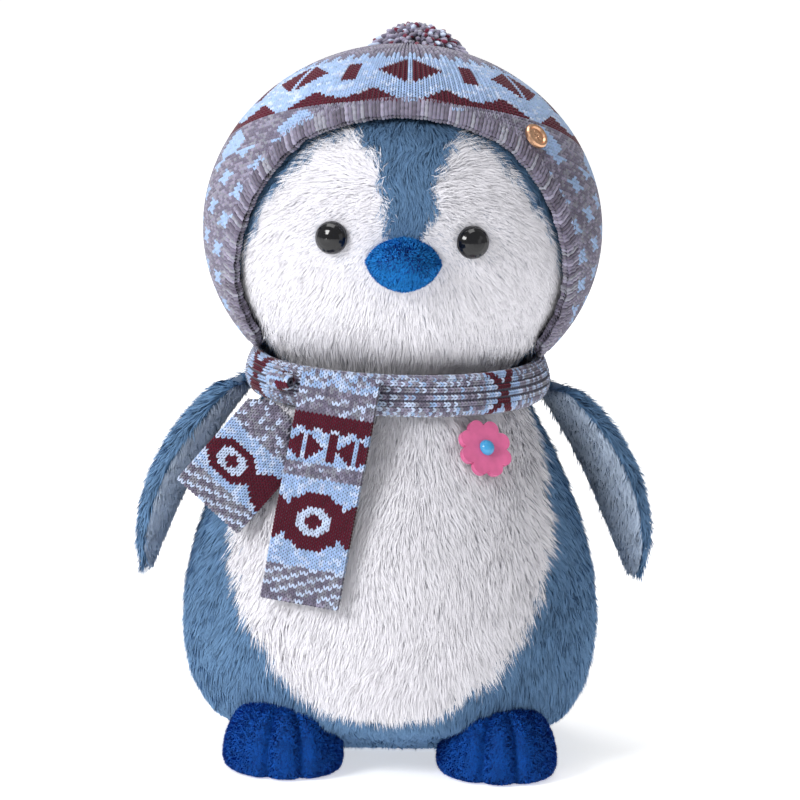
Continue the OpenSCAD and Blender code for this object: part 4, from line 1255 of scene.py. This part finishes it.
def dress_cad_nodes():
    for side in ("left", "right"):
        dress_node(side + "_eye", EYE_GLOSS)
        dress_node(side + "_eye_washer", PLASTIC)
    dress_node("flower_petals", PINK_GLOSS)
    dress_node("flower_rivet", FLOWER_BLUE)
    dress_node("flower_washer", PLASTIC)
    dress_node("hat_button", ROSE_GOLD)
    dress_node("pellet_bag", FIBRE)
    # The tie inside the pompom gets the dark knit ground: painted shade.
    dress_node("pompom_tie", KNIT_SHADE_GROUND)
    for node in ("flower_petals", "left_eye", "right_eye", "hat_button", "flower_rivet"):
        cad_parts[node].data.shade_smooth()


JOBS = [build_base, build_body, build_head, build_beak,
        lambda: build_wing(-1, "left"), lambda: build_wing(1, "right"),
        lambda: build_foot(-1, "left"), lambda: build_foot(1, "right"),
        build_hat, build_edging, build_pompom, build_scarf, build_front_tail, build_back_tail,
        build_button_relief, dress_cad_nodes]


# ---------- camera, light and floor ----------
def build_stage():
    scene = bpy.context.scene
    scene.view_settings.view_transform = "Standard"
    world = bpy.data.worlds.new("studio")
    world.use_nodes = True
    world.node_tree.nodes["Background"].inputs["Color"].default_value = (1.0, 1.0, 1.0, 1)
    world.node_tree.nodes["Background"].inputs["Strength"].default_value = WORLD_LIGHT
    scene.world = world
    azimuth, elevation, distance, roll = rad(-5), rad(10), 4.0, rad(1.9)
    back = Vector((math.sin(azimuth) * math.cos(elevation), -math.cos(azimuth) * math.cos(elevation),
                   math.sin(elevation)))
    right = Vector((0, 0, 1)).cross(back).normalized()
    target = Vector((0, 0, 0.1578)) + right * 0.0014
    data = bpy.data.cameras.new("camera")
    data.lens = LENS
    data.sensor_width = 36
    data.clip_start = 0.1
    camera = bpy.data.objects.new("camera", data)
    scene.collection.objects.link(camera)
    aim = (-back).to_track_quat("-Z", "Y").to_matrix()
    aim = (aim @ Matrix.Rotation(roll, 3, "Z")).to_4x4()
    camera.matrix_world = Matrix.Translation(target + back * distance) @ aim
    scene.camera = camera
    for name, place, size, power in LIGHTS:
        light = bpy.data.lights.new(name, "AREA")
        light.shape = "DISK"
        light.size = size
        light.energy = power
        obj = bpy.data.objects.new(name, light)
        obj.location = place
        obj.rotation_euler = (Vector((0, 0, 0.15)) - Vector(place)).to_track_quat("-Z", "Y").to_euler()
        scene.collection.objects.link(obj)
    material, _, _ = node_material("pale_floor", {
        "Base Color": (0.93, 0.93, 0.93, 1), "Roughness": 0.9, "Emission Color": (1, 1, 1, 1),
        "Emission Strength": FLOOR_GLOW})
    n, size = 48, 6000.0
    a = np.linspace(0, 2 * math.pi, n, endpoint=False)
    ring = np.stack([np.cos(a), np.sin(a), np.zeros(n)], -1)
    points = np.concatenate([[[0, 0, 0]], ring * 400, ring * size])
    inner = [[0, 1 + i, 1 + (i + 1) % n] for i in range(n)]
    outer = [[1 + i, 1 + n + i, 1 + n + (i + 1) % n, 1 + (i + 1) % n] for i in range(n)]
    floor = make_mesh("floor", points, material, outer, inner, smooth=False)
    floor.location = (0, 0, -FLOOR_GAP)


LENS = 397
WORLD_LIGHT = 0.42
FLOOR_GLOW = 0.55
FLOOR_GAP = 0.0002
LIGHTS = [("key", (-1.6, -1.4, 1.3), 0.9, 39.0),
          ("top", (-0.3, 0.2, 2.0), 1.4, 16.0),
          ("fill", (1.8, -1.4, 0.8), 1.2, 2.0)]


for job in JOBS:
    job()
build_stage()
